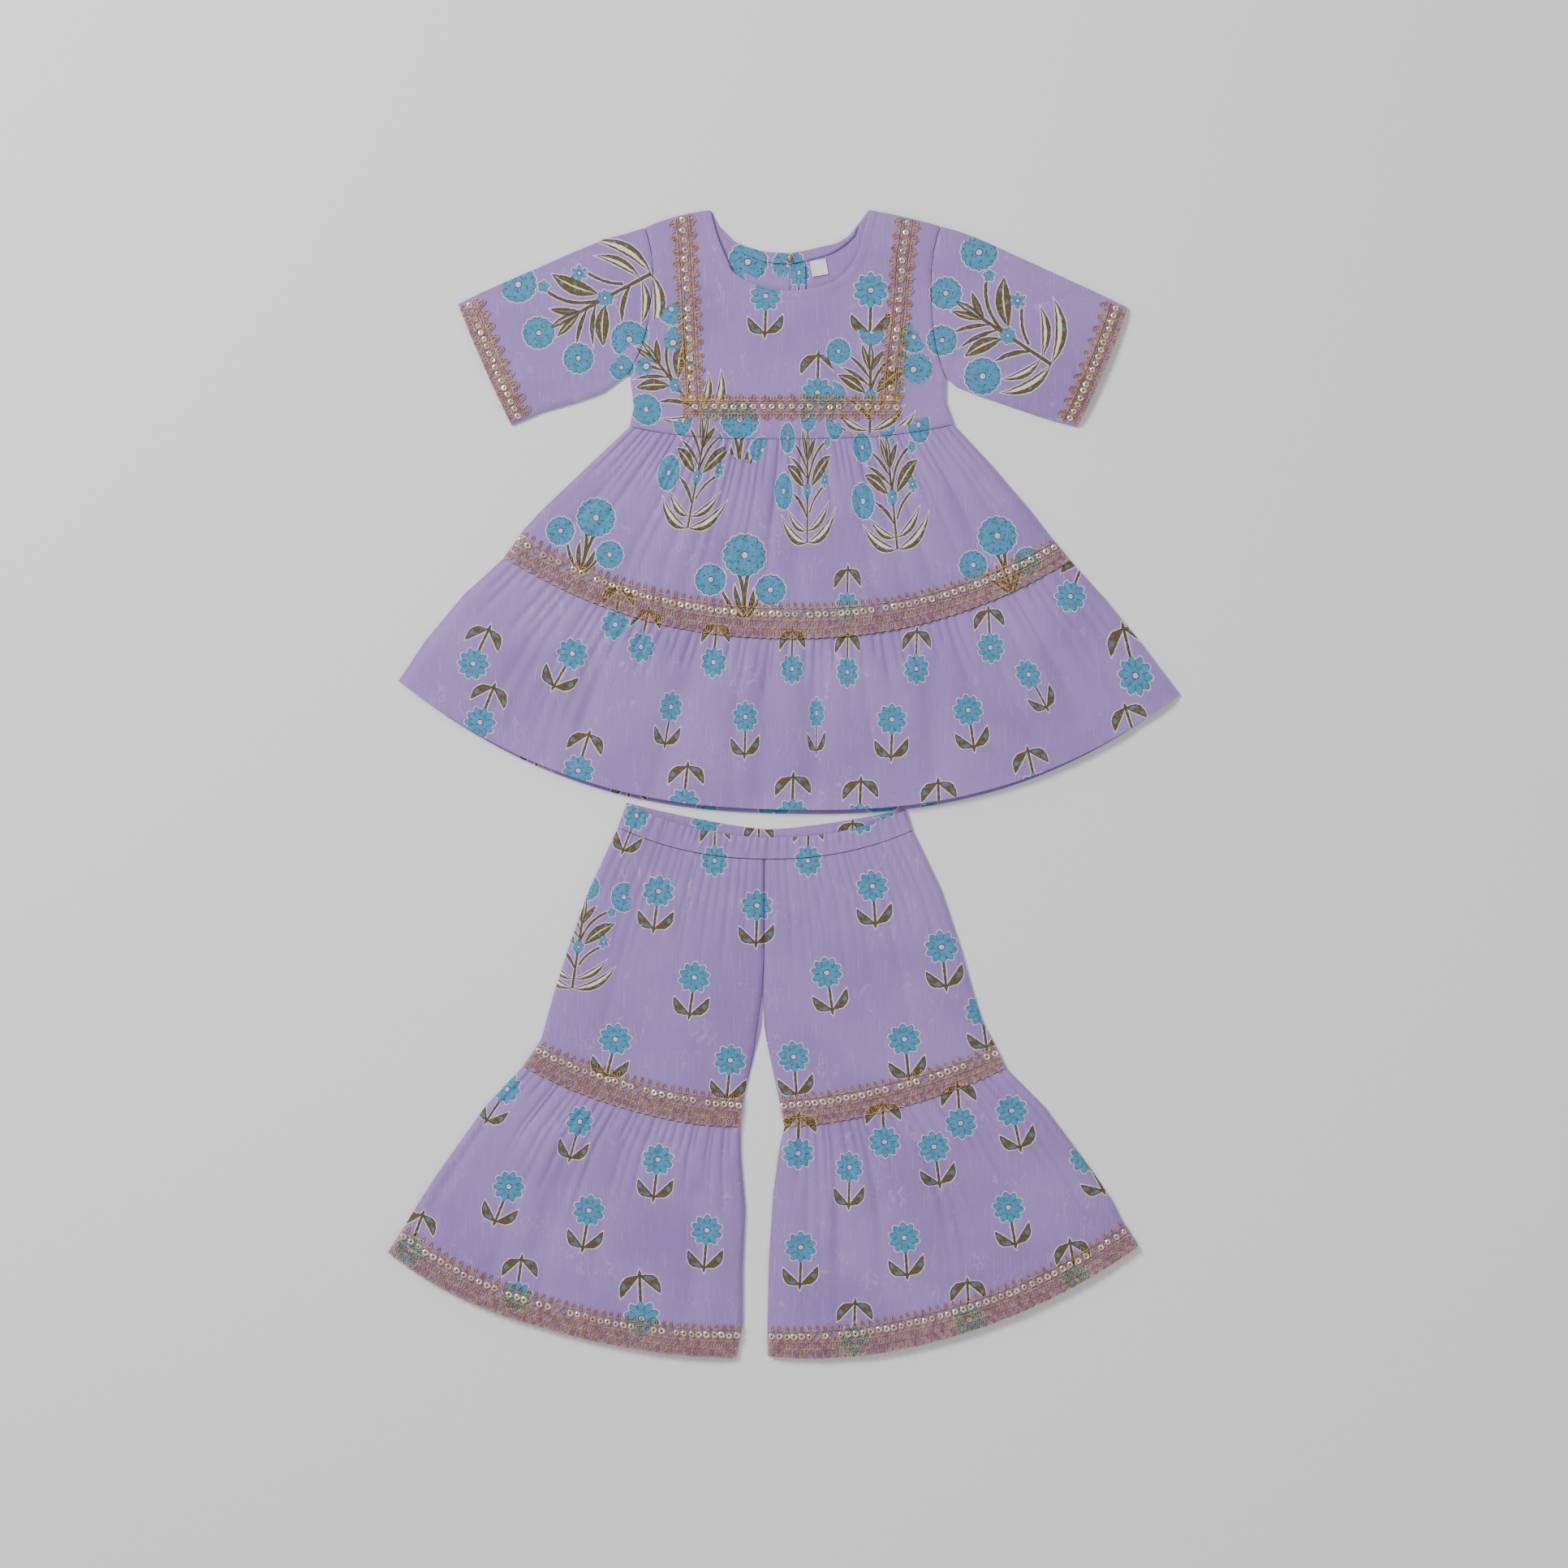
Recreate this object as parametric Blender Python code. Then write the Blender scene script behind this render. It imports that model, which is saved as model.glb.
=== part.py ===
"""An infant girl's sharara suit of printed cotton, laid out flat: a kurta with a gathered skirt and tier
above a pair of flared sharara trousers. +X is the right of the layout, +Y runs towards the neck and +Z is
up from the surface it lies on. Tables and sizes are in millimetres, and the meshes in metres."""

import collections
import math

import bmesh
import bpy

MM = 0.001

# Layers of cloth
WALL = 1.2
SEAM_GAP = 0.3
FRONT_INSIDE = WALL + SEAM_GAP
INSIDE_SHARE = 0.6
BAND_WALL = 1.7
TRIM_WALL = 1.0
TRIM_GAP = 0.45
BACK_SAMPLES = 16

# Unevenness of gathers, as angles in radians from one gather to the next
STEP_ANGLE = 2.4
HEIGHT_ANGLE = 1.7
STEP_SHARE = 0.28
LOWEST_PEAK = 0.62
SHARP_ANGLE = 55

# Number of gathers across each gathered edge
SKIRT_GATHERS = 46
TIER_GATHERS = 38
BAND_GATHERS = 36
LEG_GATHERS = 9
FLARE_GATHERS = 26

# A row is one section across a panel, from its left end to its right end. It hangs below its chord by sag,
# deepest at the share low of its width, and a higher fullness makes its ends rounder.
Row = collections.namedtuple("Row", "left_x left_y right_x right_y sag fullness low", defaults=(2.2, 0.5))

WAIST = Row(-104.6, 241.8, 115.0, 243.2, 9.2, 3.0)
SKIRT = (
    WAIST,
    Row(-130.6, 217.3, 139.4, 217.3, 22.0, 2.6),
    Row(-165.3, 184.3, 167.5, 184.3, 38.5, 2.4),
    Row(-176.3, 172.2, 180.7, 167.2, 46.5, 2.3),
    Row(-189.5, 153.5, 193.9, 151.3, 54.0),
)
TIER = (
    Row(-189.5, 153.1, 194.2, 150.9, 54.0),
    Row(-217.5, 127.6, 216.4, 126.5, 65.0),
    Row(-243.4, 96.3, 241.2, 96.3, 75.0),
    Row(-261.0, 69.9, 268.2, 60.5, 82.5, 2.45),
)
TIER_BACK_HEM = Row(-260.6, 69.9, 267.8, 60.5, 85.3, 2.45)

WAISTBAND = (
    Row(-105.9, -13.2, 82.8, -17.5, 20.6),
    Row(-112.5, -29.1, 87.2, -31.1, 20.4),
)
WAISTBAND_BACK_TOP = Row(-106.3, -12.9, 82.8, -17.5, 15.6, 1.35)

LEG_LEFT = (
    Row(-112.5, -29.6, -13.3, -51.0, 5.8, 2.0, 0.48),
    Row(-131.7, -71.0, -13.5, -86.4, 3.9),
    Row(-146.6, -112.8, -13.9, -121.0, 4.4),
    Row(-155.4, -140.3, -15.4, -141.4, 5.5),
    Row(-160.9, -160.1, -20.6, -178.8, 5.5),
    Row(-164.5, -173.3, -27.0, -210.1, 6.5),
    Row(-176.8, -190.9, -29.4, -232.1, 9.4),
)
LEG_RIGHT = (
    Row(-12.8, -51.0, 87.2, -31.6, 5.8, 2.0, 0.52),
    Row(-13.0, -85.3, 106.4, -71.5, 3.3),
    Row(-13.4, -121.0, 120.2, -112.8, 4.4),
    Row(-13.6, -144.7, 127.9, -140.3, 5.5),
    Row(-10.5, -178.8, 134.5, -161.2, 5.5),
    Row(-4.1, -210.1, 142.2, -175.5, 6.3),
    Row(0.3, -232.1, 150.4, -192.0, 7.7),
)
# Inner ends of the back legs from the waist to the crotch, which lies lower than the front's
BACK_CROTCH_LEFT = {2: (-14.4, -121.0), 3: (-14.6, -146.0), 4: (-15.6, -166.0)}
BACK_CROTCH_RIGHT = {2: (-13.9, -121.0), 3: (-14.1, -146.0), 4: (-13.4, -166.0)}

FLARE_LEFT = (
    Row(-176.8, -191.3, -29.4, -232.5, 9.4),
    Row(-202.7, -218.9, -29.2, -253.0, 11.0),
    Row(-232.9, -261.3, -26.1, -288.8, 14.0),
    Row(-245.6, -280.5, -27.8, -327.3, 16.0),
    Row(-255.8, -297.6, -27.8, -364.7, 19.5, 2.2, 0.42),
    Row(-268.2, -317.1, -32.2, -388.3, 19.0, 2.2, 0.4),
)
FLARE_RIGHT = (
    Row(0.3, -232.5, 150.4, -192.4, 7.7),
    Row(-3.0, -245.9, 176.3, -218.4, 10.0),
    Row(-7.4, -277.8, 208.2, -261.3, 13.0),
    Row(-10.2, -321.8, 223.0, -283.3, 16.0),
    Row(-11.3, -366.4, 228.5, -294.8, 20.0, 2.2, 0.55),
    Row(-11.0, -387.1, 240.1, -312.7, 23.7, 2.1, 0.5),
)

# A section places a line of points on a panel. at counts along the panel's rows, merge is how many gather
# points join into one, gather is the gathers' height and billow is how far the cloth stands off the back.
Section = collections.namedtuple("Section", "at merge gather billow")
SKIRT_SECTIONS = (
    Section(0.0, 1, 0.8, 0.0),
    Section(0.2, 1, 1.5, 0.5),
    Section(1.0, 1, 1.3, 1.6),
    Section(2.0, 2, 1.0, 2.2),
    Section(3.0, 2, 0.4, 1.6),
    Section(4.0, 2, 0.4, 0.8),
)
TIER_SECTIONS = (
    Section(0.0, 1, 0.7, 0.4),
    Section(0.2, 1, 1.4, 1.2),
    Section(1.0, 1, 1.1, 2.4),
    Section(2.0, 2, 1.0, 3.0),
    Section(2.75, 2, 0.9, 2.9),
    Section(3.0, 2, 0.9, 2.7),
)
BAND_SECTIONS = (
    Section(0.0, 1, 1.0, 0.2),
    Section(0.5, 1, 1.3, 0.5),
    Section(1.0, 1, 1.1, 0.2),
)
LEG_SECTIONS = (
    Section(0.0, 1, 1.1, 0.2),
    Section(0.3, 1, 0.9, 0.9),
    Section(1.0, 2, 0.3, 1.5),
    Section(2.0, 2, 0.2, 1.6),
    Section(3.0, 2, 0.2, 1.5),
    Section(4.0, 2, 0.2, 1.3),
    Section(5.0, 2, 0.2, 1.1),
    Section(6.0, 2, 0.2, 0.5),
)
FLARE_SECTIONS = (
    Section(0.0, 1, 0.7, 0.3),
    Section(0.4, 1, 1.3, 1.0),
    Section(2.0, 1, 1.0, 2.2),
    Section(3.0, 2, 0.9, 2.6),
    Section(4.0, 2, 0.4, 2.2),
    Section(5.0, 2, 0.4, 2.0),
)

# The largest folds: each is a trough that presses the billow down along a line.
Fold = collections.namedtuple("Fold", "start_x start_y end_x end_y width depth")
FOLDS = (
    Fold(-78.4, 234.3, -92.1, 215.0, 7.0, 0.7),
    Fold(-28.9, 232.6, -44.8, 150.0, 7.0, 0.8),
    Fold(-0.8, 228.8, -4.7, 180.0, 6.0, 0.7),
    Fold(7.4, 182.0, 9.1, 124.0, 7.0, 0.7),
    Fold(106.4, 225.5, 129.5, 160.0, 7.0, 0.8),
    Fold(-127.3, 83.6, -134.5, 41.3, 9.0, 0.8),
    Fold(-56.9, 95.7, -85.0, -0.5, 10.0, 0.9),
    Fold(-9.6, 92.4, -15.1, -7.7, 9.0, 0.85),
    Fold(16.8, 83.6, 19.5, -7.2, 9.0, 0.8),
    Fold(99.3, 74.3, 103.1, 8.3, 9.0, 0.8),
    Fold(182.0, 88.0, 198.0, 48.0, 9.0, 0.7),
    Fold(-148.8, -257.4, -166.4, -313.5, 8.0, 0.8),
    Fold(-59.1, -278.3, -61.3, -348.7, 8.0, 0.85),
    Fold(37.1, -250.3, 38.8, -316.3, 8.0, 0.85),
    Fold(56.9, -236.0, 67.4, -284.4, 7.0, 0.8),
    Fold(107.0, -270.1, 126.8, -313.0, 8.0, 0.8),
    Fold(-104.0, 280.0, -132.0, 306.0, 6.0, 0.9),
    Fold(-112.0, 273.0, -152.0, 268.0, 6.0, 0.7),
    Fold(109.0, 276.0, 128.0, 300.0, 6.0, 0.9),
)

# Armholes, as the seam's ends and how far it bows into the bodice
Armhole = collections.namedtuple("Armhole", "shoulder_x shoulder_y underarm_x underarm_y bow")
ARMHOLE_LEFT = Armhole(-94.3, 376.6, -104.8, 278.3, 9.5)
ARMHOLE_RIGHT = Armhole(105.9, 377.6, 109.7, 275.0, -8.0)
ARMHOLE_FULLNESS = 2.6
SIDE_LEFT_X = -101.6
SIDE_LEFT_Y = 255.0
SIDE_RIGHT_X = 109.2
SIDE_RIGHT_Y = 259.1

# Rays of the bodice front, from its neck edge to a place along a seam. rise lifts a shoulder line's middle.
Ray = collections.namedtuple("Ray", "neck_x neck_y seam along rise", defaults=(0.0,))
BODICE_RAYS = (
    Ray(-49.8, 388.4, "left armhole", 0.0, 1.9),
    Ray(-48.0, 381.0, "left armhole", 0.07, 1.0),
    Ray(-46.0, 373.6, "left armhole", 0.15),
    Ray(-43.1, 365.3, "left armhole", 0.3),
    Ray(-39.1, 355.9, "left armhole", 0.48),
    Ray(-35.7, 348.2, "left armhole", 0.7),
    Ray(-31.6, 344.4, "left armhole", 0.86),
    Ray(-28.3, 342.1, "left side", 0.0),
    Ray(-24.5, 340.0, "left side", 0.5),
    Ray(-20.1, 338.3, "waist", 0.0),
    Ray(-13.0, 335.8, "waist", 0.12),
    Ray(-6.3, 334.4, "waist", 0.25),
    Ray(-1.0, 334.0, "waist", 0.38),
    Ray(4.7, 333.9, "waist", 0.5),
    Ray(9.5, 334.1, "waist", 0.62),
    Ray(15.0, 334.8, "waist", 0.75),
    Ray(23.9, 336.6, "waist", 0.88),
    Ray(29.0, 338.5, "waist", 1.0),
    Ray(33.8, 340.5, "right side", 0.5),
    Ray(37.3, 342.9, "right side", 0.0),
    Ray(40.4, 345.4, "right armhole", 0.86),
    Ray(45.9, 352.0, "right armhole", 0.7),
    Ray(50.3, 360.3, "right armhole", 0.48),
    Ray(52.5, 368.2, "right armhole", 0.3),
    Ray(55.2, 378.5, "right armhole", 0.15),
    Ray(56.6, 383.8, "right armhole", 0.07, 0.3),
    Ray(57.5, 388.6, "right armhole", 0.0, 0.7),
)
RAY_STEPS = (0.0, 0.1, 0.35, 0.6, 0.85, 1.0)
BODICE_RISE = 1.5
BODICE_MIDDLE_X = 4.0
BODICE_MIDDLE_Y = 318.0
BODICE_HALF_WIDTH = 115.0
BODICE_HALF_HEIGHT = 82.0

# The back neck, with the centre-back slit and the facing that shows inside it
BACK_NECK_LEFT = ((-49.8, 388.4), (-43.7, 377.5), (-34.4, 368.2), (-28.9, 365.2), (-19.0, 361.9), (-14.0, 360.6))
BACK_NECK_RIGHT = ((19.0, 362.2), (35.9, 366.4), (44.3, 371.4), (57.5, 388.6))
SLIT_X = 3.85
SLIT_TOP = 359.4
SLIT_BOTTOM = 310.0
SLIT_WIDTH = 1.3
Facing = collections.namedtuple("Facing", "neck_x neck_y low_x low_y")
FACING_LEFT = (
    Facing(3.0, 359.4, 3.0, 352.4),
    Facing(-6.0, 359.9, -5.6, 352.9),
    Facing(-14.0, 360.6, -12.8, 353.7),
    Facing(-19.0, 361.9, -17.2, 355.1),
    Facing(-28.9, 365.2, -26.2, 358.8),
    Facing(-34.4, 368.2, -31.0, 362.0),
    Facing(-39.5, 373.3, -36.4, 367.0),
    Facing(-43.4, 377.2, -41.2, 372.4),
)
FACING_RIGHT = (
    Facing(4.8, 359.4, 4.8, 352.4),
    Facing(12.0, 360.8, 11.4, 353.8),
    Facing(19.0, 362.2, 17.6, 355.4),
    Facing(27.5, 364.3, 25.8, 357.5),
    Facing(35.9, 366.4, 32.8, 360.1),
    Facing(44.3, 371.4, 41.0, 365.4),
    Facing(49.4, 378.0, 47.8, 371.8),
)
PLACKET_LEFT_X = 4.8
PLACKET_RIGHT_X = 14.4
PLACKET_TOP = 352.1
PLACKET_BOTTOM = 306.0
BUTTON_Y = 355.9
BUTTON_WIDTH = 2.8
BUTTON_LENGTH = 5.2
LOOP_THREAD = 0.7
LOOP_HALF_WIDTH = 2.4
LOOP_HALF_LENGTH = 3.6
LOOP_ROOT_X = -1.2
LABEL_X = 23.7
LABEL_Y = 349.6
LABEL_WIDTH = 11.0
LABEL_HEIGHT = 10.6
LABEL_TURN = 10.0

# Sleeves, folded along the top edge. A station is one section from the fold down to the underarm seam.
Station = collections.namedtuple("Station", "top_x top_y low_x low_y bow puff")
SLEEVE_LEFT = (
    Station(-94.3, 376.6, -104.8, 278.3, 9.5, 0.6),
    Station(-109.0, 372.2, -112.5, 272.8, 5.5, 1.5),
    Station(-121.5, 369.1, -122.5, 265.3, 3.0, 2.0),
    Station(-143.8, 359.7, -137.8, 259.6, 1.0, 2.2),
    Station(-185.1, 341.6, -164.2, 251.9, 0.0, 1.9),
    Station(-204.4, 333.1, -169.5, 249.6, -1.2, 1.6),
    Station(-220.8, 325.1, -184.5, 243.1, -1.2, 1.4),
)
SLEEVE_RIGHT = (
    Station(105.9, 377.6, 109.7, 275.0, -8.0, 0.6),
    Station(118.0, 374.4, 116.3, 269.4, -5.5, 1.4),
    Station(131.2, 369.6, 128.4, 264.4, -3.5, 1.9),
    Station(162.5, 355.3, 154.8, 255.2, -1.0, 2.2),
    Station(199.9, 338.3, 177.9, 247.5, 0.0, 1.9),
    Station(216.2, 330.8, 182.8, 246.1, 2.0, 1.6),
    Station(232.4, 322.9, 198.3, 242.0, 2.0, 1.4),
)
SLEEVE_LACE_STATION = 5
LAYER_SAMPLES = (0.12, 0.24, 0.37, 0.5, 0.63, 0.76, 0.88, 1.0)
# Depth and height of the fold's outer and inner points, from the back layer to the front one
FOLD_OUTER = ((1.35, 0.0), (0.4, 0.4), (0.0, 1.35), (0.4, 2.3), (1.35, 2.7))
FOLD_INNER = ((1.7, 1.2), (1.45, 1.25), (1.3, 1.35), (1.45, 1.45), (1.7, 1.5))

# Laces
PICOT_PITCH = 5.5
PICOT_DEPTH = 2.2
HEM_SCALLOP_PITCH = 8.0
HEM_SCALLOP_DEPTH = 1.2
YOKE_LACE_HALF_WIDTH = 9.0
YOKE_SCALLOP_DEPTH = 2.2
YOKE_SIDE_PITCH = 8.6
YOKE_BOTTOM_PITCH = 9.5
YOKE_BOTTOM_Y = 255.2
YOKE_BOTTOM_LEFT = -69.5
YOKE_BOTTOM_RIGHT = 79.5
SLEEVE_SCALLOP_PITCH = 8.8
SLEEVE_SCALLOP_DEPTH = 2.4
SCALLOP_SAMPLES = 4
LACE_RIDGE = 0.35
# Centre lines of the yoke's side laces, down from the shoulder seam
YOKE_LINE_LEFT = ((383.4, -69.3), (365.8, -67.4), (326.7, -65.2), (291.5, -63.5), (240.0, -60.6))
YOKE_LINE_RIGHT = ((382.3, 83.9), (353.7, 80.0), (320.1, 77.8), (286.6, 74.0), (240.0, 69.8))

# Colours as linear red, green and blue, roughness and metallic
Finish = collections.namedtuple("Finish", "colour roughness metallic")
COTTON = Finish((0.36, 0.23, 0.54), 0.85, 0.0)
GOLD_LACE = Finish((0.62, 0.42, 0.2), 0.45, 0.5)
GOLD_BEAD = Finish((0.75, 0.52, 0.22), 0.25, 1.0)
THREAD = Finish((0.4, 0.28, 0.5), 0.7, 0.0)
WHITE_SATIN = Finish((0.85, 0.85, 0.84), 0.55, 0.0)


def mix(first, second, share):
    return first + (second - first) * share


def in_steps(table, at):
    """The row at a place counted along a table, between its rows in step."""
    index = min(int(at), len(table) - 2)
    first, second = table[index], table[index + 1]
    return type(first)(*(mix(a, b, at - index) for a, b in zip(first, second)))


def line_value(line, key):
    """The second column of a two-column line, read at a falling first column."""
    for (top, top_value), (low, low_value) in zip(line, line[1:]):
        if key >= low:
            break
    return mix(top_value, low_value, (top - key) / (top - low))


def on_row(row, u):
    reach = u / row.low - 1 if u < row.low else (u - row.low) / (1 - row.low)
    drop = row.sag * (1 - abs(reach) ** row.fullness)
    return mix(row.left_x, row.right_x, u), mix(row.left_y, row.right_y, u) - drop


def on_station(station, s):
    bowed = station.bow * (1 - abs(2 * s - 1) ** ARMHOLE_FULLNESS)
    return mix(station.top_x, station.low_x, s) + bowed, mix(station.top_y, station.low_y, s)


def unpressed(x, y):
    """The share of its billow that the cloth keeps at a place, small along the folds' troughs."""
    share = 1.0
    for fold in FOLDS:
        along_x, along_y = fold.end_x - fold.start_x, fold.end_y - fold.start_y
        length = math.hypot(along_x, along_y)
        t = ((x - fold.start_x) * along_x + (y - fold.start_y) * along_y) / length**2
        t = min(max(t, 0.0), 1.0)
        away = math.hypot(x - fold.start_x - t * along_x, y - fold.start_y - t * along_y)
        share *= 1 - fold.depth * math.exp(-((away / fold.width) ** 2))
    return share


def add_object(name, mesh, finish):
    obj = bpy.data.objects.new(name, mesh)
    suit.objects.link(obj)
    material = bpy.data.materials.new(name)
    material.use_nodes = True
    shader = material.node_tree.nodes["Principled BSDF"]
    shader.inputs["Base Color"].default_value = (*finish.colour, 1.0)
    shader.inputs["Roughness"].default_value = finish.roughness
    shader.inputs["Metallic"].default_value = finish.metallic
    obj.data.materials.append(material)
    return obj


def add_mesh(name, solid, finish):
    bmesh.ops.recalc_face_normals(solid, faces=solid.faces)
    mesh = bpy.data.meshes.new(name)
    solid.to_mesh(mesh)
    solid.free()
    mesh.shade_smooth()
    mesh.set_sharp_from_angle(angle=math.radians(SHARP_ANGLE))
    return add_object(name, mesh, finish)


def bridge(solid, first, second):
    """Triangles between two lines of (place along, vertex), stepping along whichever is behind."""
    i = j = 0
    while i + 1 < len(first) or j + 1 < len(second):
        second_done = j + 1 == len(second)
        if second_done or (i + 1 < len(first) and first[i + 1][0] <= second[j + 1][0]):
            solid.faces.new((first[i][1], first[i + 1][1], second[j][1]))
            i += 1
        else:
            solid.faces.new((first[i][1], second[j + 1][1], second[j][1]))
            j += 1


def add_wall(name, outer, inner, finish):
    """A closed wall between an outer and an inner face. Each face is a list of sections, and a section is a
    list of (place along, x, y, z)."""
    solid = bmesh.new()
    faces = []
    for face in (outer, inner):
        faces.append([[(at, solid.verts.new((x * MM, y * MM, z * MM))) for at, x, y, z in line] for line in face])
    for face in faces:
        for line, following in zip(face, face[1:]):
            bridge(solid, line, following)
    for end in (0, -1):
        bridge(solid, faces[0][end], faces[1][end])
        edges = [[(place, line[end][1]) for place, line in enumerate(face)] for face in faces]
        bridge(solid, *edges)
    return add_mesh(name, solid, finish)


def gather_line(gathers, merge):
    """Places across a gathered edge and the share of the gathers' height there, as (u, peak)."""
    last = 2 * gathers
    picked = list(range(0, last, merge)) + [last]
    line = []
    for k in picked:
        inside = 0 < k < last
        u = (k + STEP_SHARE * math.sin(STEP_ANGLE * k) * inside) / last
        height = LOWEST_PEAK + (1 - LOWEST_PEAK) * abs(math.sin(HEIGHT_ANGLE * k))
        raised = (k // merge) % 2 == 1 and inside
        line.append((u, height if raised else 0.0))
    return line


def inside_height(x, y, u, billow):
    rounded = 1 - abs(2 * u - 1) ** 6
    return billow * rounded * unpressed(x, y)


class Panel:
    """A gathered front panel: its outer lines of points by section, which its lace is made from too."""

    def __init__(self, table, sections, gathers, wall=WALL):
        self.table = table
        self.sections = sections
        self.outer = []
        self.inner = []
        for section in sections:
            row = in_steps(table, section.at)
            self.outer.append(
                [
                    (u, *on_row(row, u), self.outer_height(row, section, u, wall) + section.gather * peak)
                    for u, peak in gather_line(gathers, section.merge)
                ]
            )
            self.inner.append(
                [
                    (u, *on_row(row, u), self.inner_height(row, section, u))
                    for u, _ in gather_line(gathers, 2 * section.merge if section.merge == 1 else section.merge)
                ]
            )

    @staticmethod
    def outer_height(row, section, u, wall):
        x, y = on_row(row, u)
        return FRONT_INSIDE + wall + inside_height(x, y, u, section.billow)

    @staticmethod
    def inner_height(row, section, u):
        x, y = on_row(row, u)
        return FRONT_INSIDE + INSIDE_SHARE * inside_height(x, y, u, section.billow)

    def height(self, index, u):
        """Height of the outer face on a section, read along its points."""
        line = self.outer[index]
        for (near, _, _, near_z), (far, _, _, far_z) in zip(line, line[1:]):
            if u <= far:
                break
        return mix(near_z, far_z, (u - near) / (far - near))

    def surface(self, index, share, u):
        """A point of the outer face, a share of the way from one section to the next."""
        first, second = self.sections[index], self.sections[index + 1]
        x, y = on_row(in_steps(self.table, mix(first.at, second.at, share)), u)
        return x, y, mix(self.height(index, u), self.height(index + 1, u), share)


def add_gathered(name, panel):
    return add_wall(name, panel.outer, panel.inner, COTTON)


def add_flat_back(name, table):
    """A plain back panel, flat on the surface below it."""
    places = [k / BACK_SAMPLES for k in range(BACK_SAMPLES + 1)]
    faces = [[[(u, *on_row(row, u), z) for u in places] for row in table] for z in (WALL, 0.0)]
    return add_wall(name, *faces, COTTON)


def row_length(row):
    return math.hypot(row.right_x - row.left_x, row.right_y - row.left_y)


def add_panel_lace(name, panel):
    """Lace over a panel's last stretch: picots on its upper edge, small scallops on its lower one."""
    index = len(panel.sections) - 2
    width = math.hypot(
        panel.outer[-1][0][1] - panel.outer[-2][0][1],
        panel.outer[-1][0][2] - panel.outer[-2][0][2],
    )
    length = row_length(panel.table[-1])
    picots = 2 * round(length / PICOT_PITCH)
    scallops = 2 * round(length / HEM_SCALLOP_PITCH)
    band_top = PICOT_DEPTH / width * 1.6
    lines = []
    upper = [(k / picots, band_top * 0.6 * (k % 2)) for k in range(picots + 1)]
    lower = [(k / scallops, 1 - HEM_SCALLOP_DEPTH / width * (k % 2)) for k in range(scallops + 1)]
    lines.append([(u, *panel.surface(index, share, u)) for u, share in upper])
    for share in (band_top, 0.55):
        lines.append([(point[0], *panel.surface(index, share, point[0])) for point in panel.outer[-1]])
    lines.append([(u, *panel.surface(index, share, u)) for u, share in lower])
    ridges = (0.0, LACE_RIDGE, LACE_RIDGE, 0.0)
    outer = [
        [(u, x, y, z + TRIM_GAP + TRIM_WALL + ridge) for u, x, y, z in line] for line, ridge in zip(lines, ridges)
    ]
    inner = [[(u, x, y, z + TRIM_GAP) for u, x, y, z in line] for line in lines]
    return add_wall(name, outer, inner, GOLD_LACE)


def on_seam(seam, along):
    """A place on the bodice's outline, a little inside the seam line."""
    left = seam.startswith("left")
    if seam == "waist":
        x, y = on_row(WAIST, along)
        return x, y + SEAM_GAP
    armhole = ARMHOLE_LEFT if left else ARMHOLE_RIGHT
    inwards = SEAM_GAP if left else -SEAM_GAP
    if seam.endswith("armhole"):
        x, y = on_station(Station(*armhole[:4], armhole.bow, 0.0), along)
        return x + inwards, y
    side_x, side_y = (SIDE_LEFT_X, SIDE_LEFT_Y) if left else (SIDE_RIGHT_X, SIDE_RIGHT_Y)
    share = 2 * along
    return mix(armhole.underarm_x, side_x, share) + inwards * (1 - share), mix(armhole.underarm_y, side_y, share)


def bodice_rise(x, y):
    across = 1 - ((x - BODICE_MIDDLE_X) / BODICE_HALF_WIDTH) ** 2
    down = 1 - ((y - BODICE_MIDDLE_Y) / BODICE_HALF_HEIGHT) ** 2
    return BODICE_RISE * max(across, 0.0) * max(down, 0.0)


def on_ray(ray, step):
    edge_x, edge_y = on_seam(ray.seam, ray.along)
    lift = ray.rise * (1 - (2 * step - 1) ** 2)
    return mix(ray.neck_x, edge_x, step), mix(ray.neck_y, edge_y, step) + lift


def add_bodice_front():
    outer = []
    inner = []
    for ray in BODICE_RAYS:
        places = [(step, *on_ray(ray, step)) for step in RAY_STEPS]
        outer.append([(step, x, y, FRONT_INSIDE + WALL + bodice_rise(x, y)) for step, x, y in places])
        inner.append([(step, x, y, FRONT_INSIDE + bodice_rise(x, y)) for step, x, y in places])
    return add_wall("bodice_front", outer, inner, COTTON)


def bodice_back_outline():
    """The back bodice from the left shoulder tip round the neck and slit, then clockwise back to it."""
    half = SLIT_WIDTH / 2
    slit = [(SLIT_X - half, SLIT_TOP), (SLIT_X - half / 2, SLIT_BOTTOM), (SLIT_X + half / 2, SLIT_BOTTOM)]
    slit.append((SLIT_X + half, SLIT_TOP))
    left_shoulder = [on_ray(BODICE_RAYS[0], step) for step in reversed(RAY_STEPS[1:-1])]
    right_shoulder = [on_ray(BODICE_RAYS[-1], step) for step in RAY_STEPS[1:-1]]
    rays = [on_seam(ray.seam, ray.along) for ray in BODICE_RAYS]
    return [*BACK_NECK_LEFT, *slit, *BACK_NECK_RIGHT, *right_shoulder, *reversed(rays), *left_shoulder]


def add_flat_outline(name, outline, bottom, thickness, finish):
    curve = bpy.data.curves.new(name, "CURVE")
    curve.dimensions = "2D"
    curve.fill_mode = "BOTH"
    curve.extrude = thickness / 2 * MM
    spline = curve.splines.new("POLY")
    spline.points.add(len(outline) - 1)
    spline.use_cyclic_u = True
    for point, (x, y) in zip(spline.points, outline):
        point.co = (x * MM, y * MM, 0.0, 1.0)
    obj = add_object(name, curve, finish)
    obj.location.z = (bottom + thickness / 2) * MM
    return obj


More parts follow.
